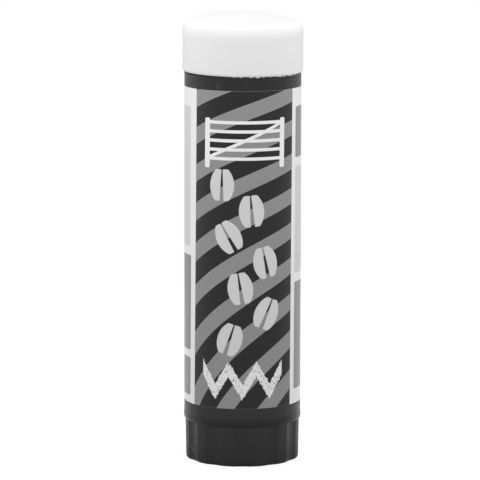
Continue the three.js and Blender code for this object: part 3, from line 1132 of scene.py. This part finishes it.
    def draw_back(self, press: "Press") -> None:
        """Prints three tiles that show how to use the crayon, and a row of hoof prints.

        Args:
            press: the label's press.
        """
        column, cap_off, wind_up, draw = 44.0, 88.0, 68.0, 48.0
        for up in (cap_off, wind_up, draw):
            press.ink(press.bar((column, up), (8.0, 8.6), corner=1.2), Ink.BLACK)
        press.ink(press.bar((column, cap_off - 3.4), (3.0, 3.0), corner=0.3), Ink.MID)
        press.ink(press.bar((column, cap_off + 1.9), (3.4, 1.7), corner=0.6), Ink.WHITE)
        press.ink(press.arrowhead((column, cap_off + 6.0), 2.6), Ink.WHITE)
        turn_radius = 4.6
        press.ink(press.ring((column, wind_up), turn_radius, 0.9), Ink.WHITE)
        press.ink(press.arrowhead((column + turn_radius, wind_up + 0.6), 3.4), Ink.WHITE)
        stroke = press.zigzag((column, draw), half_length=5.4, pitch=4.2, rise=2.6, thickness=1.5)
        press.ink(stroke, Ink.WHITE)
        prints, first_print, print_pitch, print_lean = 5, 30.0, 15.0, 0.2
        for index in range(prints):
            middle = (-column, first_print + print_pitch * index)
            press.ink(press.hoof(middle, 9.0, print_lean if index % 2 else -print_lean), Ink.MID)
        press.ink(press.bar((column, 28.6), (8.0, 5.6), corner=0.7), Ink.MID)


class Press:
    """Prints one ink over another on the unrolled label."""

    def __init__(self, shader: Shader, across: Value, up: Value, place: Value) -> None:
        """Takes the label's shader and coordinates.

        Args:
            shader: the shader being built.
            across: way round the label.
            up: height on the label.
            place: place on the label.
        """
        self.shader = shader
        self.across = across
        self.up = up
        self.place = place
        self.colour: Value = grey(1.0)
        thinnest, spread = 0.94, 0.12
        self.mottle = shader.plus(thinnest, shader.times(shader.noise(place, scale=1.7, detail=5.0), spread))

    def fill(self, ink: Ink) -> None:
        """Covers the whole film with an ink."""
        self.colour = self.mottled(ink)

    def mottled(self, ink: Ink) -> Socket:
        """An ink's colour, slightly uneven as printed inks are."""
        return self.shader.join(*[self.shader.times(self.mottle, ink.value)] * 3)

    def ink(self, mask: Value, ink: Ink) -> None:
        """Prints an ink where a mask is 1."""
        self.colour = self.shader.blend(mask, self.colour, self.mottled(ink))

    def motif(self, tree: bpy.types.NodeTree, middle: Point, output: str = "Mask", **sizes: float) -> Socket:
        """Places a motif's group on the label.

        Args:
            tree: the group.
            middle: the motif's middle.
            output: which of the group's masks is wanted.
            sizes: the group's other inputs.

        Returns:
            The mask.
        """
        made = self.shader.group(tree, across=self.across, up=self.up, middle_across=middle[0],
                                 middle_up=middle[1], **sizes)
        return made.outputs[output]

    def bar(self, middle: Point, half: Point, corner: float, lean: float = 0.0) -> Socket:
        """Mask of a bar or block with rounded corners."""
        return self.motif(rounded_bar(), middle, half_width=half[0], half_height=half[1],
                          corner=corner, lean=lean)

    def ring(self, middle: Point, radius: float, thickness: float) -> Socket:
        """Mask of a ring."""
        return self.motif(rounded_bar(), middle, "Outline", half_width=radius, half_height=radius,
                          corner=radius, line=thickness)

    def hoof(self, middle: Point, size: float, lean: float) -> Socket:
        """Mask of a hoof print."""
        return self.motif(print_hoof(), middle, size=size, lean=lean)

    def arrowhead(self, middle: Point, size: float) -> Socket:
        """Mask of a triangle that points up."""
        return self.motif(print_arrowhead(), middle, size=size)

    def arcs(self, middle: Point, pitch: float) -> Socket:
        """Mask of wide arcs round a far point, which narrow as they near it.

        Args:
            middle: the far point.
            pitch: from one arc to the next.

        Returns:
            The mask.
        """
        shader = self.shader
        narrowing, gap, blur = 1.06, 0.27, 0.06 / pitch
        distance = shader.length(shader.minus(self.across, middle[0]), shader.minus(self.up, middle[1]))
        phase = shader.math("DIVIDE", shader.math("POWER", distance, narrowing), pitch)
        return shader.step(shader.math("PINGPONG", phase, 0.5), gap - blur, gap + blur)

    def zigzag(self, middle: Point, half_length: float, pitch: float, rise: float,
               thickness: float) -> Socket:
        """Mask of a zigzag drawn with a crayon, grainy and ragged.

        Args:
            middle: its middle.
            half_length: half its length across.
            pitch: length of one zig and zag.
            rise: how far it swings up and down from its middle.
            thickness: of the stroke.

        Returns:
            The mask.
        """
        shader = self.shader
        raggedness, stroke_blur, end_blur, pitches_before = 1.3, 0.08, 0.1, 10
        grain, bare, covered = (2.0, 2.0, 1.2), 0.36, 0.44
        along = shader.minus(self.across, middle[0])
        phase = shader.math("DIVIDE", shader.plus(along, pitches_before * pitch), pitch)
        swing = shader.minus(shader.math("PINGPONG", phase, 0.5), 0.25)
        rest = shader.minus(shader.minus(self.up, middle[1]), shader.times(swing, 4 * rise))
        square = math.cos(math.atan(4 * rise / pitch))
        uneven = shader.noise(self.place, scale=1.6, detail=6.0)
        ragged = shader.times(shader.minus(uneven, 0.5), raggedness)
        off = shader.plus(shader.times(shader.math("ABSOLUTE", rest), square), ragged)
        stroke = shader.step(off, thickness / 2 + stroke_blur, thickness / 2 - stroke_blur)
        ends = shader.step(shader.math("ABSOLUTE", along), half_length + end_blur, half_length - end_blur)
        paper = shader.noise(shader.stretch(self.place, grain), scale=2.0, detail=6.0)
        return shader.times(stroke, ends, shader.step(paper, bare, covered))


# Pieces

# Usual roundings of moulded edges
FINE_EDGE = 0.1
CLEAN_EDGE = 0.15
SOFT_EDGE = 0.2
EASY_EDGE = 0.3
BROAD_EDGE = 0.4


@dataclass(frozen=True)
class Fits:
    """Sizes that pieces share where they meet."""

    bore: float = 15.2
    neck: float = 16.1
    tube_head: float = 16.98
    tube_foot: float = 17.08
    collar_base: float = 11.71
    recess_base: float = 17.03
    recess_top: float = 110.08
    recess_depth: float = 0.13
    shoulder: float = 113.71
    rim: float = 124.61
    floor_top: float = 15.21
    floor_underside: float = 13.41
    snap_middle: float = 117.11
    snap_bead: float = 0.15
    snap_width: float = 0.9
    catch_middle: float = 8.41
    catch_width: float = 1.0
    catch_depth: float = 0.4
    key_count: int = 4
    key_width: float = 1.2
    key_depth: float = 0.7
    key_gap: float = 0.3
    key_edge: float = 0.003

    def tube_radius(self, height: float) -> float:
        """Radius of the tube's outside at a height."""
        share = (height - self.collar_base) / (self.shoulder - self.collar_base)
        return self.tube_foot + (self.tube_head - self.tube_foot) * share

    def groove_width(self) -> float:
        """Width of a groove that a key bar runs in."""
        return self.key_width + 2 * self.key_gap

    def key_turn(self) -> float:
        """Angle of the first key bar."""
        return FULL_TURN / self.key_count / 2

    def key_half(self, width: float) -> float:
        """Half the angle that a key bar, or a groove, of that width takes."""
        return math.asin(width / 2 / self.bore)

    def key_angles(self, count: int, width: float) -> list[float]:
        """Angles of a mesh's columns, with close pairs at the sides of key bars or grooves.

        Args:
            count: number of plain angles.
            width: of the bars or grooves.

        Returns:
            The angles.
        """
        half = self.key_half(width)
        middles = [self.key_turn() + turn for turn in even_angles(self.key_count)]
        edges = [middle + side * half for middle in middles for side in (-1, 1)]
        return with_edges(even_angles(count), edges, self.key_edge)

    def in_key(self, angle: float, width: float) -> bool:
        """Whether an angle lies within a key bar, or a groove, of that width."""
        return abs(off_centre(angle, self.key_count, self.key_turn())) < self.key_half(width)


@dataclass
class Cap:
    """The white cap: a domed shell with a sealing lip and a groove for the neck's bead."""

    fits: Fits
    finish: MouldedPlastic
    inside: float = 16.35
    crown: float = 1.2
    dome_radius: float = 51.8
    shoulder_rounding: float = 2.0
    shoulder_inset: float = 0.2
    shoulder_soft: float = 2.3
    skirt_bend: float = 14.0
    rim_rounding: float = 0.8
    rim_band: float = 0.2
    mouth_widening: float = 0.25
    mouth_depth: float = 0.5
    corner_thickness: float = 0.6
    corner_fillet: float = 0.8
    lip_radius: float = 14.95
    lip_thickness: float = 0.85
    lip_reach: float = 1.2
    lip_taper: float = 0.25
    lip_taper_height: float = 0.8
    dimple_radius: float = 1.65
    dimple_floor: float = 1.1
    dimple_depth: float = 0.22
    rim_drop: float = 0.11
    top_drop: float = 0.08
    askew: float = 0.008
    nod: float = 0.006
    burr_height: float = 0.52
    burr_start: float = 17.06
    burr_width: float = 0.1
    burr_spread: float = 0.85
    burr_middle: float = -1.08
    burr_fineness: float = 17.0
    burr_contrast: float = 2.6
    burr_bias: float = 0.3
    burr_limit: float = 0.75
    under_steps: int = 10
    dome_steps: int = 40
    facets: int = 480

    def __post_init__(self) -> None:
        """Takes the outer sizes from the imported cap."""
        low, high = box_mm("cap")
        self.radius = high.x
        self.base = low.z - self.rim_drop
        self.top = high.z - self.top_drop

    def profile(self) -> list[Point]:
        """Section of the cap, from the crown's underside round the skirt to its top.

        Returns:
            The points, from axis to axis.
        """
        fits = self.fits
        lip_inside = self.lip_radius - self.lip_thickness
        lip_base = fits.rim - self.lip_reach
        under = dome(self.top - self.crown, self.dome_radius - self.crown, lip_inside, self.under_steps)
        edge = self.radius - self.shoulder_inset
        over = dome(self.top, self.dome_radius, edge, self.dome_steps, room=self.shoulder_rounding)
        crown_under = under[0].height - self.corner_thickness
        groove = snap_band(self.inside, self.inside + fits.snap_bead, fits.snap_middle,
                           fits.snap_width, fits.snap_width / 2, FINE_EDGE)
        return rounded([
            *reversed(under),
            Corner(lip_inside, lip_base, CLEAN_EDGE),
            Corner(self.lip_radius - self.lip_taper, lip_base, CLEAN_EDGE),
            Corner(self.lip_radius, lip_base + self.lip_taper_height, EASY_EDGE),
            Corner(self.lip_radius, crown_under, SOFT_EDGE),
            Corner(self.inside, crown_under, self.corner_fillet),
            *groove,
            Corner(self.inside, self.base + self.mouth_depth, FINE_EDGE),
            Corner(self.inside + self.mouth_widening, self.base),
            Corner(self.radius, self.base, self.rim_rounding),
            Corner(self.radius, over[0].height - self.shoulder_soft, self.skirt_bend),
            Corner(over[0].radius, over[0].height, self.shoulder_rounding),
            *over[1:],
        ])

    def shape(self, radius: float, height: float, angle: float) -> Point:
        """Adds the gate's dimple and small burrs along the rim, and seats the cap a little askew.

        Args:
            radius: of a point of the profile.
            height: its height.
            angle: its way round.

        Returns:
            The radius and height that it moves to.
        """
        if height > self.top - self.crown / 2:
            ramp = self.dimple_radius - self.dimple_floor
            height -= self.dimple_depth * eased((self.dimple_radius - radius) / ramp)
        if height < self.base + self.rim_band:
            off = off_centre(angle, 1, self.burr_middle) / self.burr_spread
            share = clamped(1 - off**2) * clamped((radius - self.burr_start) / self.burr_width)
            ragged = noise.noise(Vector((math.cos(angle), math.sin(angle), 0.0)) * self.burr_fineness)
            reach = clamped(self.burr_contrast * ragged + self.burr_bias, high=self.burr_limit)
            height -= self.burr_height * share * reach
        tilt = 1 + (height - self.base) / (self.top - self.base)
        slope = self.askew * math.cos(angle) - self.nod * math.sin(angle)
        return radius, height - tilt * radius * slope

    def build(self) -> None:
        """Makes the cap."""
        piece = turned("cap_shell", self.profile(), even_angles(self.facets), self.shape)
        stand_in(piece, "cap", "cap", self.finish.material())


@dataclass
class Barrel:
    """The black tube: collar, tapered wall, neck, bore with key bars, floor and spigot."""

    fits: Fits
    finish: MouldedPlastic
    spigot_radius: float = 15.04
    spigot_inside: float = 13.84
    spigot_base: float = 5.71
    journal_hole: float = 3.4
    step_radius: float = 16.74
    collar_foot: float = 16.95
    collar_foot_rise: float = 0.04
    collar_belly: float = 17.2
    collar_rise: float = 0.7
    collar_rounding: float = 1.2
    collar_blend: float = 3.4
    blend_rounding: float = 8.0
    recess_ramp: float = 0.25
    shoulder_rounding: float = 0.12
    bead_rounding: float = 0.12
    rim_rounding: float = 0.35
    key_top: float = 122.21
    key_end: float = 0.15
    facets: int = 224

    def profile(self) -> list[Point]:
        """Section of the tube's wall.

        Returns:
            The points, once round the section.
        """
        fits = self.fits
        base, blend = fits.collar_base, fits.collar_base + self.collar_blend
        catch_half, bead_half = fits.catch_width / 2, fits.snap_width / 2
        catch = snap_band(self.spigot_radius, self.spigot_radius + fits.catch_depth, fits.catch_middle,
                          -catch_half, -catch_half / 3, FINE_EDGE)
        bead = snap_band(fits.neck, fits.neck + fits.snap_bead, fits.snap_middle,
                         -bead_half, -bead_half / 3, self.bead_rounding)
        recess_foot, recess_head = fits.recess_base + self.recess_ramp, fits.recess_top - self.recess_ramp
        return rounded([
            Corner(self.spigot_inside, self.spigot_base),
            Corner(self.spigot_radius, self.spigot_base, BROAD_EDGE),
            *catch,
            Corner(self.spigot_radius, base, SOFT_EDGE),
            Corner(self.step_radius, base),
            Corner(self.collar_foot, base + self.collar_foot_rise, FINE_EDGE),
            Corner(self.collar_belly, base + self.collar_rise, self.collar_rounding),
            Corner(fits.tube_radius(blend), blend, self.blend_rounding),
            Corner(fits.tube_radius(fits.recess_base), fits.recess_base, EASY_EDGE),
            Corner(fits.tube_radius(recess_foot) - fits.recess_depth, recess_foot, FINE_EDGE),
            Corner(fits.tube_radius(recess_head) - fits.recess_depth, recess_head, FINE_EDGE),
            Corner(fits.tube_radius(fits.recess_top), fits.recess_top, EASY_EDGE),
            Corner(fits.tube_head, fits.shoulder, self.shoulder_rounding),
            Corner(fits.neck, fits.shoulder, CLEAN_EDGE),
            *bead,
            Corner(fits.neck, fits.rim, self.rim_rounding),
            Corner(fits.bore, fits.rim, self.rim_rounding),
            Corner(fits.bore, self.key_top + self.key_end),
            Corner(fits.bore, self.key_top),
            Corner(fits.bore, fits.floor_top),
            Corner(self.journal_hole, fits.floor_top),
            Corner(self.journal_hole, fits.floor_underside),
            Corner(self.spigot_inside, fits.floor_underside),
        ])

    def shape(self, radius: float, height: float, angle: float) -> Point:
        """Raises the key bars out of the bore.

        Args:
            radius: of a point of the profile.
            height: its height.
            angle: its way round.

        Returns:
            The radius and height that it moves to.
        """
        on_bore = abs(radius - self.fits.bore) < TOUCH
        if on_bore and height < self.key_top + TOUCH and self.fits.in_key(angle, self.fits.key_width):
            radius -= self.fits.key_depth
        return radius, height

    def build(self) -> None:
        """Makes the tube."""
        angles = self.fits.key_angles(self.facets, self.fits.key_width)
        piece = turned("barrel_tube", self.profile(), angles, self.shape)
        stand_in(piece, "barrel", "tube", self.finish.material())


@dataclass
class Label:
    """The printed film: one wrap on the tube's taper, its end lapped over its start at the back."""

    fits: Fits
    finish: LabelFilm
    thickness: float = 0.1
    gap: float = 0.03
    lap: float = 5.0
    chamfer: float = 0.02
    ramp_start: float = 345.0
    ramp_end: float = 352.5
    sharp: float = 32.0
    facets: int = 288

    def lift(self, turn: float) -> float:
        """How far the film stands off the tube because its end climbs over its start."""
        share = (math.degrees(turn) - self.ramp_start) / (self.ramp_end - self.ramp_start)
        return (self.thickness + self.gap) * eased(share)

    def section(self) -> list[Point]:
        """The film's section as (distance from its inner face, height).

        Returns:
            The points, once round the section.
        """
        low, high = box_mm("label")
        cut = self.chamfer
        return [(0.0, low.z), (self.thickness - cut, low.z), (self.thickness, low.z + cut),
                (self.thickness, high.z - cut), (self.thickness - cut, high.z), (0.0, high.z)]

    def build(self) -> None:
        """Makes the label as a strip that is wound once round the tube and capped at both ends."""
        section = self.section()
        sides = len(section)
        turn = FULL_TURN + self.lap / self.fits.tube_foot
        steps = round(self.facets * turn / FULL_TURN)
        vertices = []
        for step in range(steps + 1):
            way = turn * step / steps
            angle = math.pi / 2 + way
            for offset, height in section:
                radius = self.fits.tube_foot - self.fits.recess_depth + self.gap + offset + self.lift(way)
                radius *= self.fits.tube_radius(height) / self.fits.tube_foot * MM
                vertices.append((radius * math.cos(angle), radius * math.sin(angle), height * MM))
        faces = []
        for step in range(steps):
            for side in range(sides):
                a, b = step * sides + side, step * sides + (side + 1) % sides
                faces.append([a, b, b + sides, a + sides])
        faces.append(list(range(sides)))
        faces.append([steps * sides + side for side in reversed(range(sides))])
        piece = solid_object("printed_label", vertices, faces, self.sharp)
        stand_in(piece, "label", "tube", self.finish.material())


@dataclass
class TwistKnob:
    """The fluted knob: a cup that snaps round the spigot, with a boss for the screw's tail."""

    fits: Fits
    finish: MouldedPlastic
    top_radius: float = 16.89
    draft: float = 0.25
    inside: float = 15.34
    bottom_rounding: float = 0.6
    top_rounding: float = 0.15
    floor_thickness: float = 1.3
    floor_fillet: float = 0.5
    foot_ring_height: float = 0.7
    foot_ring_width: float = 2.4
    mouth_widening: float = 0.3
    mouth_depth: float = 0.5
    boss_radius: float = 5.0
    boss_top: float = 13.11
    socket_base: float = 2.61
    socket_radius: float = 3.05
    serration_depth: float = 0.55
    serrations: int = 8
    flutes: int = 12
    flute_width: float = 5.0
    flute_depth: float = 0.45
    flute_flare: float = 0.45
    flare_height: float = 1.2
    flare_rows: tuple[float, ...] = (0.7, 0.85, 1.0, 1.2)
    flute_blend: float = 0.045
    gate_radius: float = 1.6
    gate_height: float = 0.35
    gate_slope: float = 0.1
    sharp: float = 40.0

    def __post_init__(self) -> None:
        """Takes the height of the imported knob, up to its boss, and works out the flutes' arc."""
        self.height = box_mm("twist_knob")[1].z
        half = self.flute_width / 2
        drop = self.top_radius - math.sqrt(self.top_radius**2 - half**2)
        rise = self.flute_depth - drop
        self.arc_radius = (half**2 + rise**2) / (2 * rise)

    def wall(self, height: float) -> float:
        """Radius of the lands at a height."""
        return self.top_radius - self.draft * (1 - height / self.height)

    def profile(self) -> list[Point]:
        """Section of the knob, from its underside round the wall to the socket.

        Returns:
            The points, from axis to axis.
        """
        fits = self.fits
        foot_outer = self.wall(0.0) - self.bottom_rounding
        foot_inner = foot_outer - self.foot_ring_width
        floor = self.foot_ring_height + self.floor_thickness
        gate_top = self.foot_ring_height - self.gate_height
        groove = snap_band(self.inside, self.inside + fits.catch_depth, fits.catch_middle,
                           fits.catch_width, fits.catch_width * 2 / 3, FINE_EDGE)
        rows = [self.flare_height * share for share in self.flare_rows]
        return rounded([
            Corner(0.0, gate_top),
            Corner(self.gate_radius, gate_top, CLEAN_EDGE),
            Corner(self.gate_radius + self.gate_slope, self.foot_ring_height, FINE_EDGE),
            Corner(foot_inner - self.foot_ring_height, self.foot_ring_height, EASY_EDGE),
            Corner(foot_inner, 0.0, CLEAN_EDGE),
            Corner(self.wall(0.0), 0.0, self.bottom_rounding),
            *(Corner(self.wall(row), row) for row in rows),
            Corner(self.top_radius, self.height, self.top_rounding),
            Corner(self.inside + self.mouth_widening, self.height),
            Corner(self.inside, self.height - self.mouth_depth),
            *groove,
            Corner(self.inside, floor, self.floor_fillet),
            Corner(self.boss_radius, floor, BROAD_EDGE),
            Corner(self.boss_radius, self.boss_top, BROAD_EDGE),
            Corner(self.socket_radius, self.boss_top),
            Corner(self.socket_radius, self.socket_base),
            Corner(0.0, self.socket_base),
        ])

    def shape(self, radius: float, height: float, angle: float) -> Point:
        """Sinks the flutes into the wall and the serrations into the socket.

        Args:
            radius: of a point of the profile.
            height: its height.
            angle: its way round.

        Returns:
            The radius and height that it moves to.
        """
        if abs(radius - self.socket_radius) < TOUCH:
            lean = abs(off_centre(angle, self.serrations)) / (FULL_TURN / self.serrations / 2)
            return radius - self.serration_depth * lean, height
        if radius < self.inside + self.mouth_widening + TOUCH:
            return radius, height
        flare = self.flute_flare * max(0.0, 1 - height / self.flare_height) ** 2
        centre = self.wall(height) - self.flute_depth - flare + self.arc_radius
        lean = off_centre(angle, self.flutes)
        across = centre * math.sin(lean)
        if abs(across) >= self.arc_radius:
            return radius, height
        flute = centre * math.cos(lean) - math.sqrt(self.arc_radius**2 - across**2)
        spread = math.hypot(radius - flute, self.flute_blend)
        return (radius + flute - spread) / 2, height

    def angles(self) -> list[float]:
        """Angles of the mesh's columns, close together at the flutes' edges.

        Returns:
            The angles, in order.
        """
        in_flute, on_land = (1.4, 2.8, 4.2, 5.6), (11.5, 13.2)
        near_edge = (-1.6, -1.0, -0.6, -0.3, 0.0, 0.3, 0.6, 1.0, 1.6)
        pitch = 360.0 / self.flutes
        edge = math.degrees(math.asin(self.flute_width / 2 / self.top_radius))
        half = [*in_flute, *(edge + step for step in near_edge), *on_land]
        leans = [0.0, *half, *(-lean for lean in half), pitch / 2]
        middles = [pitch * index for index in range(self.flutes)]
        return sorted(math.radians((middle + lean) % 360.0) for middle in middles for lean in leans)

    def build(self) -> None:
        """Makes the knob."""
        piece = turned("twist_knob_cup", self.profile(), self.angles(), self.shape, sharp=self.sharp)
        stand_in(piece, "twist_knob", "knob", self.finish.material())


@dataclass
class WaxStick:
    """The wax: a round stick with a domed tip, four grooves and a hollow for the screw."""

    fits: Fits
    finish: CastWax
    hole_radius: float = 4.5
    hole_top: float = 114.21
    hole_rounding: float = 0.8
    nut_clearance_radius: float = 6.3
    nut_clearance_top: float = 25.31
    foot: float = 18.91
    foot_radius: float = 13.25
    cup_top: float = 27.31
    tip_dome: float = 0.8
    tip_rounding: float = 1.6
    tip_room: float = 2.08
    tip_height: float = 2.0
    unevenness: float = 0.06
    lump_fineness: float = 0.2
    overrun: float = 1.0
    rows: int = 24
    facets: int = 192

    def __post_init__(self) -> None:
        """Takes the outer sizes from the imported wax."""
        high = box_mm("wax_crayon")[1]
        self.radius = high.x
        self.top = high.z

    def profile(self) -> list[Point]:
        """Section of the wax, from the top of its hollow round its foot to its tip.

        Returns:
            The points, from axis to axis.
        """
        sphere = (self.radius**2 + self.tip_dome**2) / (2 * self.tip_dome)
        tip = dome(self.top, sphere, self.radius, self.rows, room=self.tip_room)
        side = tip[0].height - self.cup_top
        rows = [self.cup_top + side * step / self.rows for step in range(1, self.rows)]
        return rounded([
            Corner(0.0, self.hole_top),
            Corner(self.hole_radius, self.hole_top, self.hole_rounding),
            Corner(self.hole_radius, self.nut_clearance_top, SOFT_EDGE),
            Corner(self.nut_clearance_radius, self.nut_clearance_top, SOFT_EDGE),
            Corner(self.nut_clearance_radius, self.foot),
            Corner(self.foot_radius, self.foot, BROAD_EDGE),
            Corner(self.foot_radius, self.cup_top, SOFT_EDGE),
            Corner(self.radius, self.cup_top, SOFT_EDGE),
            *(Corner(self.radius, row) for row in rows),
            Corner(tip[0].radius, tip[0].height, self.tip_rounding),
            *tip[1:],
        ])

    def shape(self, radius: float, height: float, angle: float) -> Point:
        """Cuts the grooves for the key bars and makes the casting slightly uneven.

        Args:
            radius: of a point of the profile.
            height: its height.
            angle: its way round.

        Returns:
            The radius and height that it moves to.
        """
        if height > self.cup_top - TOUCH and radius > self.hole_radius + self.overrun:
            place = Vector((radius * math.cos(angle), radius * math.sin(angle), height))
            sink = self.unevenness * (0.5 + 0.5 * noise.noise(place * self.lump_fineness))
            if height > self.top - self.tip_height:
                height -= sink
            else:
                radius -= sink
        in_groove = self.fits.in_key(angle, self.fits.groove_width())
        if height > self.cup_top - self.overrun and in_groove:
            radius = min(radius, self.fits.bore - self.fits.key_depth - self.fits.key_gap)
        return radius, height

    def build(self) -> None:
        """Makes the wax."""
        angles = self.fits.key_angles(self.facets, self.fits.groove_width())
        piece = turned("wax_stick", self.profile(), angles, self.shape)
        stand_in(piece, "wax_crayon", "stick", self.finish.material())


@dataclass
class Winder:
    """The hidden winding gear: lead screw and carrier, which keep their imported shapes."""

    finish: MouldedPlastic
    nodes: tuple[str, ...] = ("lead_screw", "carrier")

    def build(self, frame: dict) -> None:
        """Dresses both pieces.

        Args:
            frame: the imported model.
        """
        material = self.finish.material()
        for name in self.nodes:
            mesh = frame["nodes"][name].data
            mesh.materials.clear()
            mesh.materials.append(material)
            LOG.info("%s: packed shape, dressed", name)


# Studio

@dataclass
class Studio:
    """Pale floor, soft light from all round and the camera of the photograph.

    The light's levels are those of a white surround. Each ramp gives the two directions between
    which one level goes over into the next.
    """

    aim: Vector
    distance: float = 1.0
    elevation: float = 8.9
    roll: float = 0.1
    lens: float = 256.5
    sensor: float = 36.0
    floor_radius: float = 0.3
    floor_facets: int = 96
    floor_drop: float = 0.05
    floor_level: float = 0.28
    floor_roughness: float = 0.9
    floor_glow: float = 0.8
    # Painted shadow: how much of the floor's glow in reflections is cut round the object's foot.
    shade: float = 0.55
    painted_shadow_start: float = 0.023
    painted_shadow_reach: float = 0.036
    front_light: float = 1.28
    left_light: float = 1.55
    right_light: float = 1.3
    back_light: float = 0.78
    top_light: float = 1.04
    back_ramp: Point = (-0.3, 0.3)
    left_ramp: Point = (-0.7, -0.98)
    right_ramp: Point = (0.55, 0.95)
    top_ramp: Point = (0.1, 0.5)

    def place_camera(self) -> None:
        """Puts the camera where the photograph was taken from."""
        data = bpy.data.cameras.new("studio_camera")
        data.lens = self.lens
        data.sensor_width = self.sensor
        camera = bpy.data.objects.new("studio_camera", data)
        bpy.context.collection.objects.link(camera)
        lift = math.radians(self.elevation)
        camera.location = self.aim + self.distance * Vector((0.0, -math.cos(lift), math.sin(lift)))
        turn = Matrix.Rotation(math.pi / 2 - lift, 3, "X") @ Matrix.Rotation(math.radians(self.roll), 3, "Z")
        camera.rotation_euler = turn.to_euler()
        bpy.context.scene.camera = camera

    def floor_material(self) -> bpy.types.Material:
        """White paper with a soft shade under the object, which is see-through from below; in reflections
        its glow has a painted shadow round the object's foot.

        Returns:
            The material.
        """
        material = bpy.data.materials.new("floor_paper")
        material.use_nodes = True
        shader = Shader(material.node_tree)
        surface = material.node_tree.nodes["Principled BSDF"]
        surface.inputs["Base Color"].default_value = grey(self.floor_level)
        surface.inputs["Roughness"].default_value = self.floor_roughness
        surface.inputs["Specular IOR Level"].default_value = 0.0
        surface.inputs["Emission Color"].default_value = grey(1.0)
        path = shader.node("ShaderNodeLightPath").outputs
        x, y, _ = shader.split(shader.node("ShaderNodeTexCoord").outputs["Object"])
        # Painted shadow: the glow that reflections see is cut near the object's foot.
        near = shader.step(shader.length(x, y), self.painted_shadow_reach, self.painted_shadow_start)
        reflected_glow = shader.times(path["Is Glossy Ray"], shader.minus(1.0, shader.times(near, self.shade)))
        seen = shader.math("MAXIMUM", path["Is Camera Ray"],
                           shader.math("MAXIMUM", reflected_glow, path["Is Transmission Ray"]))
        shader.put(shader.times(seen, self.floor_glow), surface.inputs["Emission Strength"])
        under = shader.node("ShaderNodeNewGeometry").outputs["Backfacing"]
        one_way = shader.node("ShaderNodeMixShader")
        clear = shader.node("ShaderNodeBsdfTransparent").outputs[0]
        mixed = shader.feed(one_way, (shader.times(under, path["Is Camera Ray"]), surface.outputs[0], clear))
        shader.put(mixed, material.node_tree.nodes["Material Output"].inputs["Surface"])
        return material

    def lay_floor(self) -> None:
        """Lays the floor just under the object."""
        mesh = bpy.data.meshes.new("floor")
        rim = [(self.floor_radius * math.cos(angle), self.floor_radius * math.sin(angle), 0.0)
               for angle in even_angles(self.floor_facets)]
        mesh.from_pydata(rim, [], [list(range(len(rim)))])
        mesh.materials.append(self.floor_material())
        floor = bpy.data.objects.new("floor", mesh)
        floor.location.z = -self.floor_drop * MM
        bpy.context.collection.objects.link(floor)

    def light(self) -> None:
        """Lights the object from a white surround, which the camera sees as plain white.

        It is brightest at both sides and in front, a little lower overhead and lowest behind.
        """
        world = bpy.data.worlds.new("studio_surround")
        world.use_nodes = True
        bpy.context.scene.world = world
        shader = Shader(world.node_tree)
        side, back, up = shader.split(shader.node("ShaderNodeTexCoord").outputs["Generated"])
        ramps = (
            (back, self.back_ramp, self.back_light),
            (side, self.left_ramp, self.left_light),
            (side, self.right_ramp, self.right_light),
            (up, self.top_ramp, self.top_light),
        )
        level = grey(self.front_light)
        for way, ramp, light in ramps:
            level = shader.blend(shader.step(way, *ramp), level, grey(light))
        path = shader.node("ShaderNodeLightPath").outputs
        seen = shader.math("MAXIMUM", path["Is Camera Ray"], path["Is Transmission Ray"])
        ground = world.node_tree.nodes["Background"]
        shader.put(shader.blend(seen, level, grey(1.0)), ground.inputs["Color"])
        bpy.context.scene.view_settings.view_transform = "Standard"

    def build(self) -> None:
        """Sets up the studio."""
        self.place_camera()
        self.lay_floor()
        self.light()


def main() -> None:
    """Builds the studio and every piece."""
    logging.basicConfig(level=logging.INFO, format="%(message)s")
    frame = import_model()
    Studio(aim=Vector((-0.74, 0.0, 64.2)) * MM).build()
    fits = Fits()
    barrel_plastic = TubePlastic(
        "barrel_black", level=0.011, worn_level=0.07, roughness=0.32, specular=0.24, edge_wear_and_highlight=0.25,
        blemishes=(Blemish(-7.3, 111.1, 0.8, 0.5, lean=1.4, ring=True, line=0.14, tone=0.9, relief=0.03),
                   Blemish(1.2, 112.4, 0.25, 0.12, lean=0.8, tone=1.0, relief=0.03),
                   Blemish(10.0, 112.9, 0.14, 0.1, tone=0.7)))
    # The knob's edge wear is part rubbed wear, part painted highlight along the flutes' edges.
    knob_plastic = MouldedPlastic(
        "knob_black", level=0.0195, worn_level=0.09, roughness=0.42, specular=0.2, edge_wear_and_highlight=0.34,
        scuffs=0.4,
        blemishes=(Blemish(-18.25, 3.1, 1.9, 0.13, lean=-0.45, tone=1.0, relief=-0.03),))
    cap_plastic = CapPlastic(
        "cap_white", level=0.95, worn_level=0.9, roughness=0.42, scuffs=0.15, dust_level=0.4, dust=0.02,
        milkiness=0.6, specular=0.35,
        blemishes=(Blemish(-1.7, 116.2, 0.9, 0.9, ring=True, line=0.2, blur=0.2, relief=0.06),))
    natural = MouldedPlastic("natural_plastic", level=0.72, worn_level=0.8, roughness=0.4, milkiness=0.4)
    Cap(fits, cap_plastic).build()
    Barrel(fits, barrel_plastic).build()
    Label(fits, LabelFilm()).build()
    TwistKnob(fits, knob_plastic).build()
    WaxStick(fits, CastWax()).build()
    Winder(natural).build(frame)


if __name__ == "__main__":
    main()
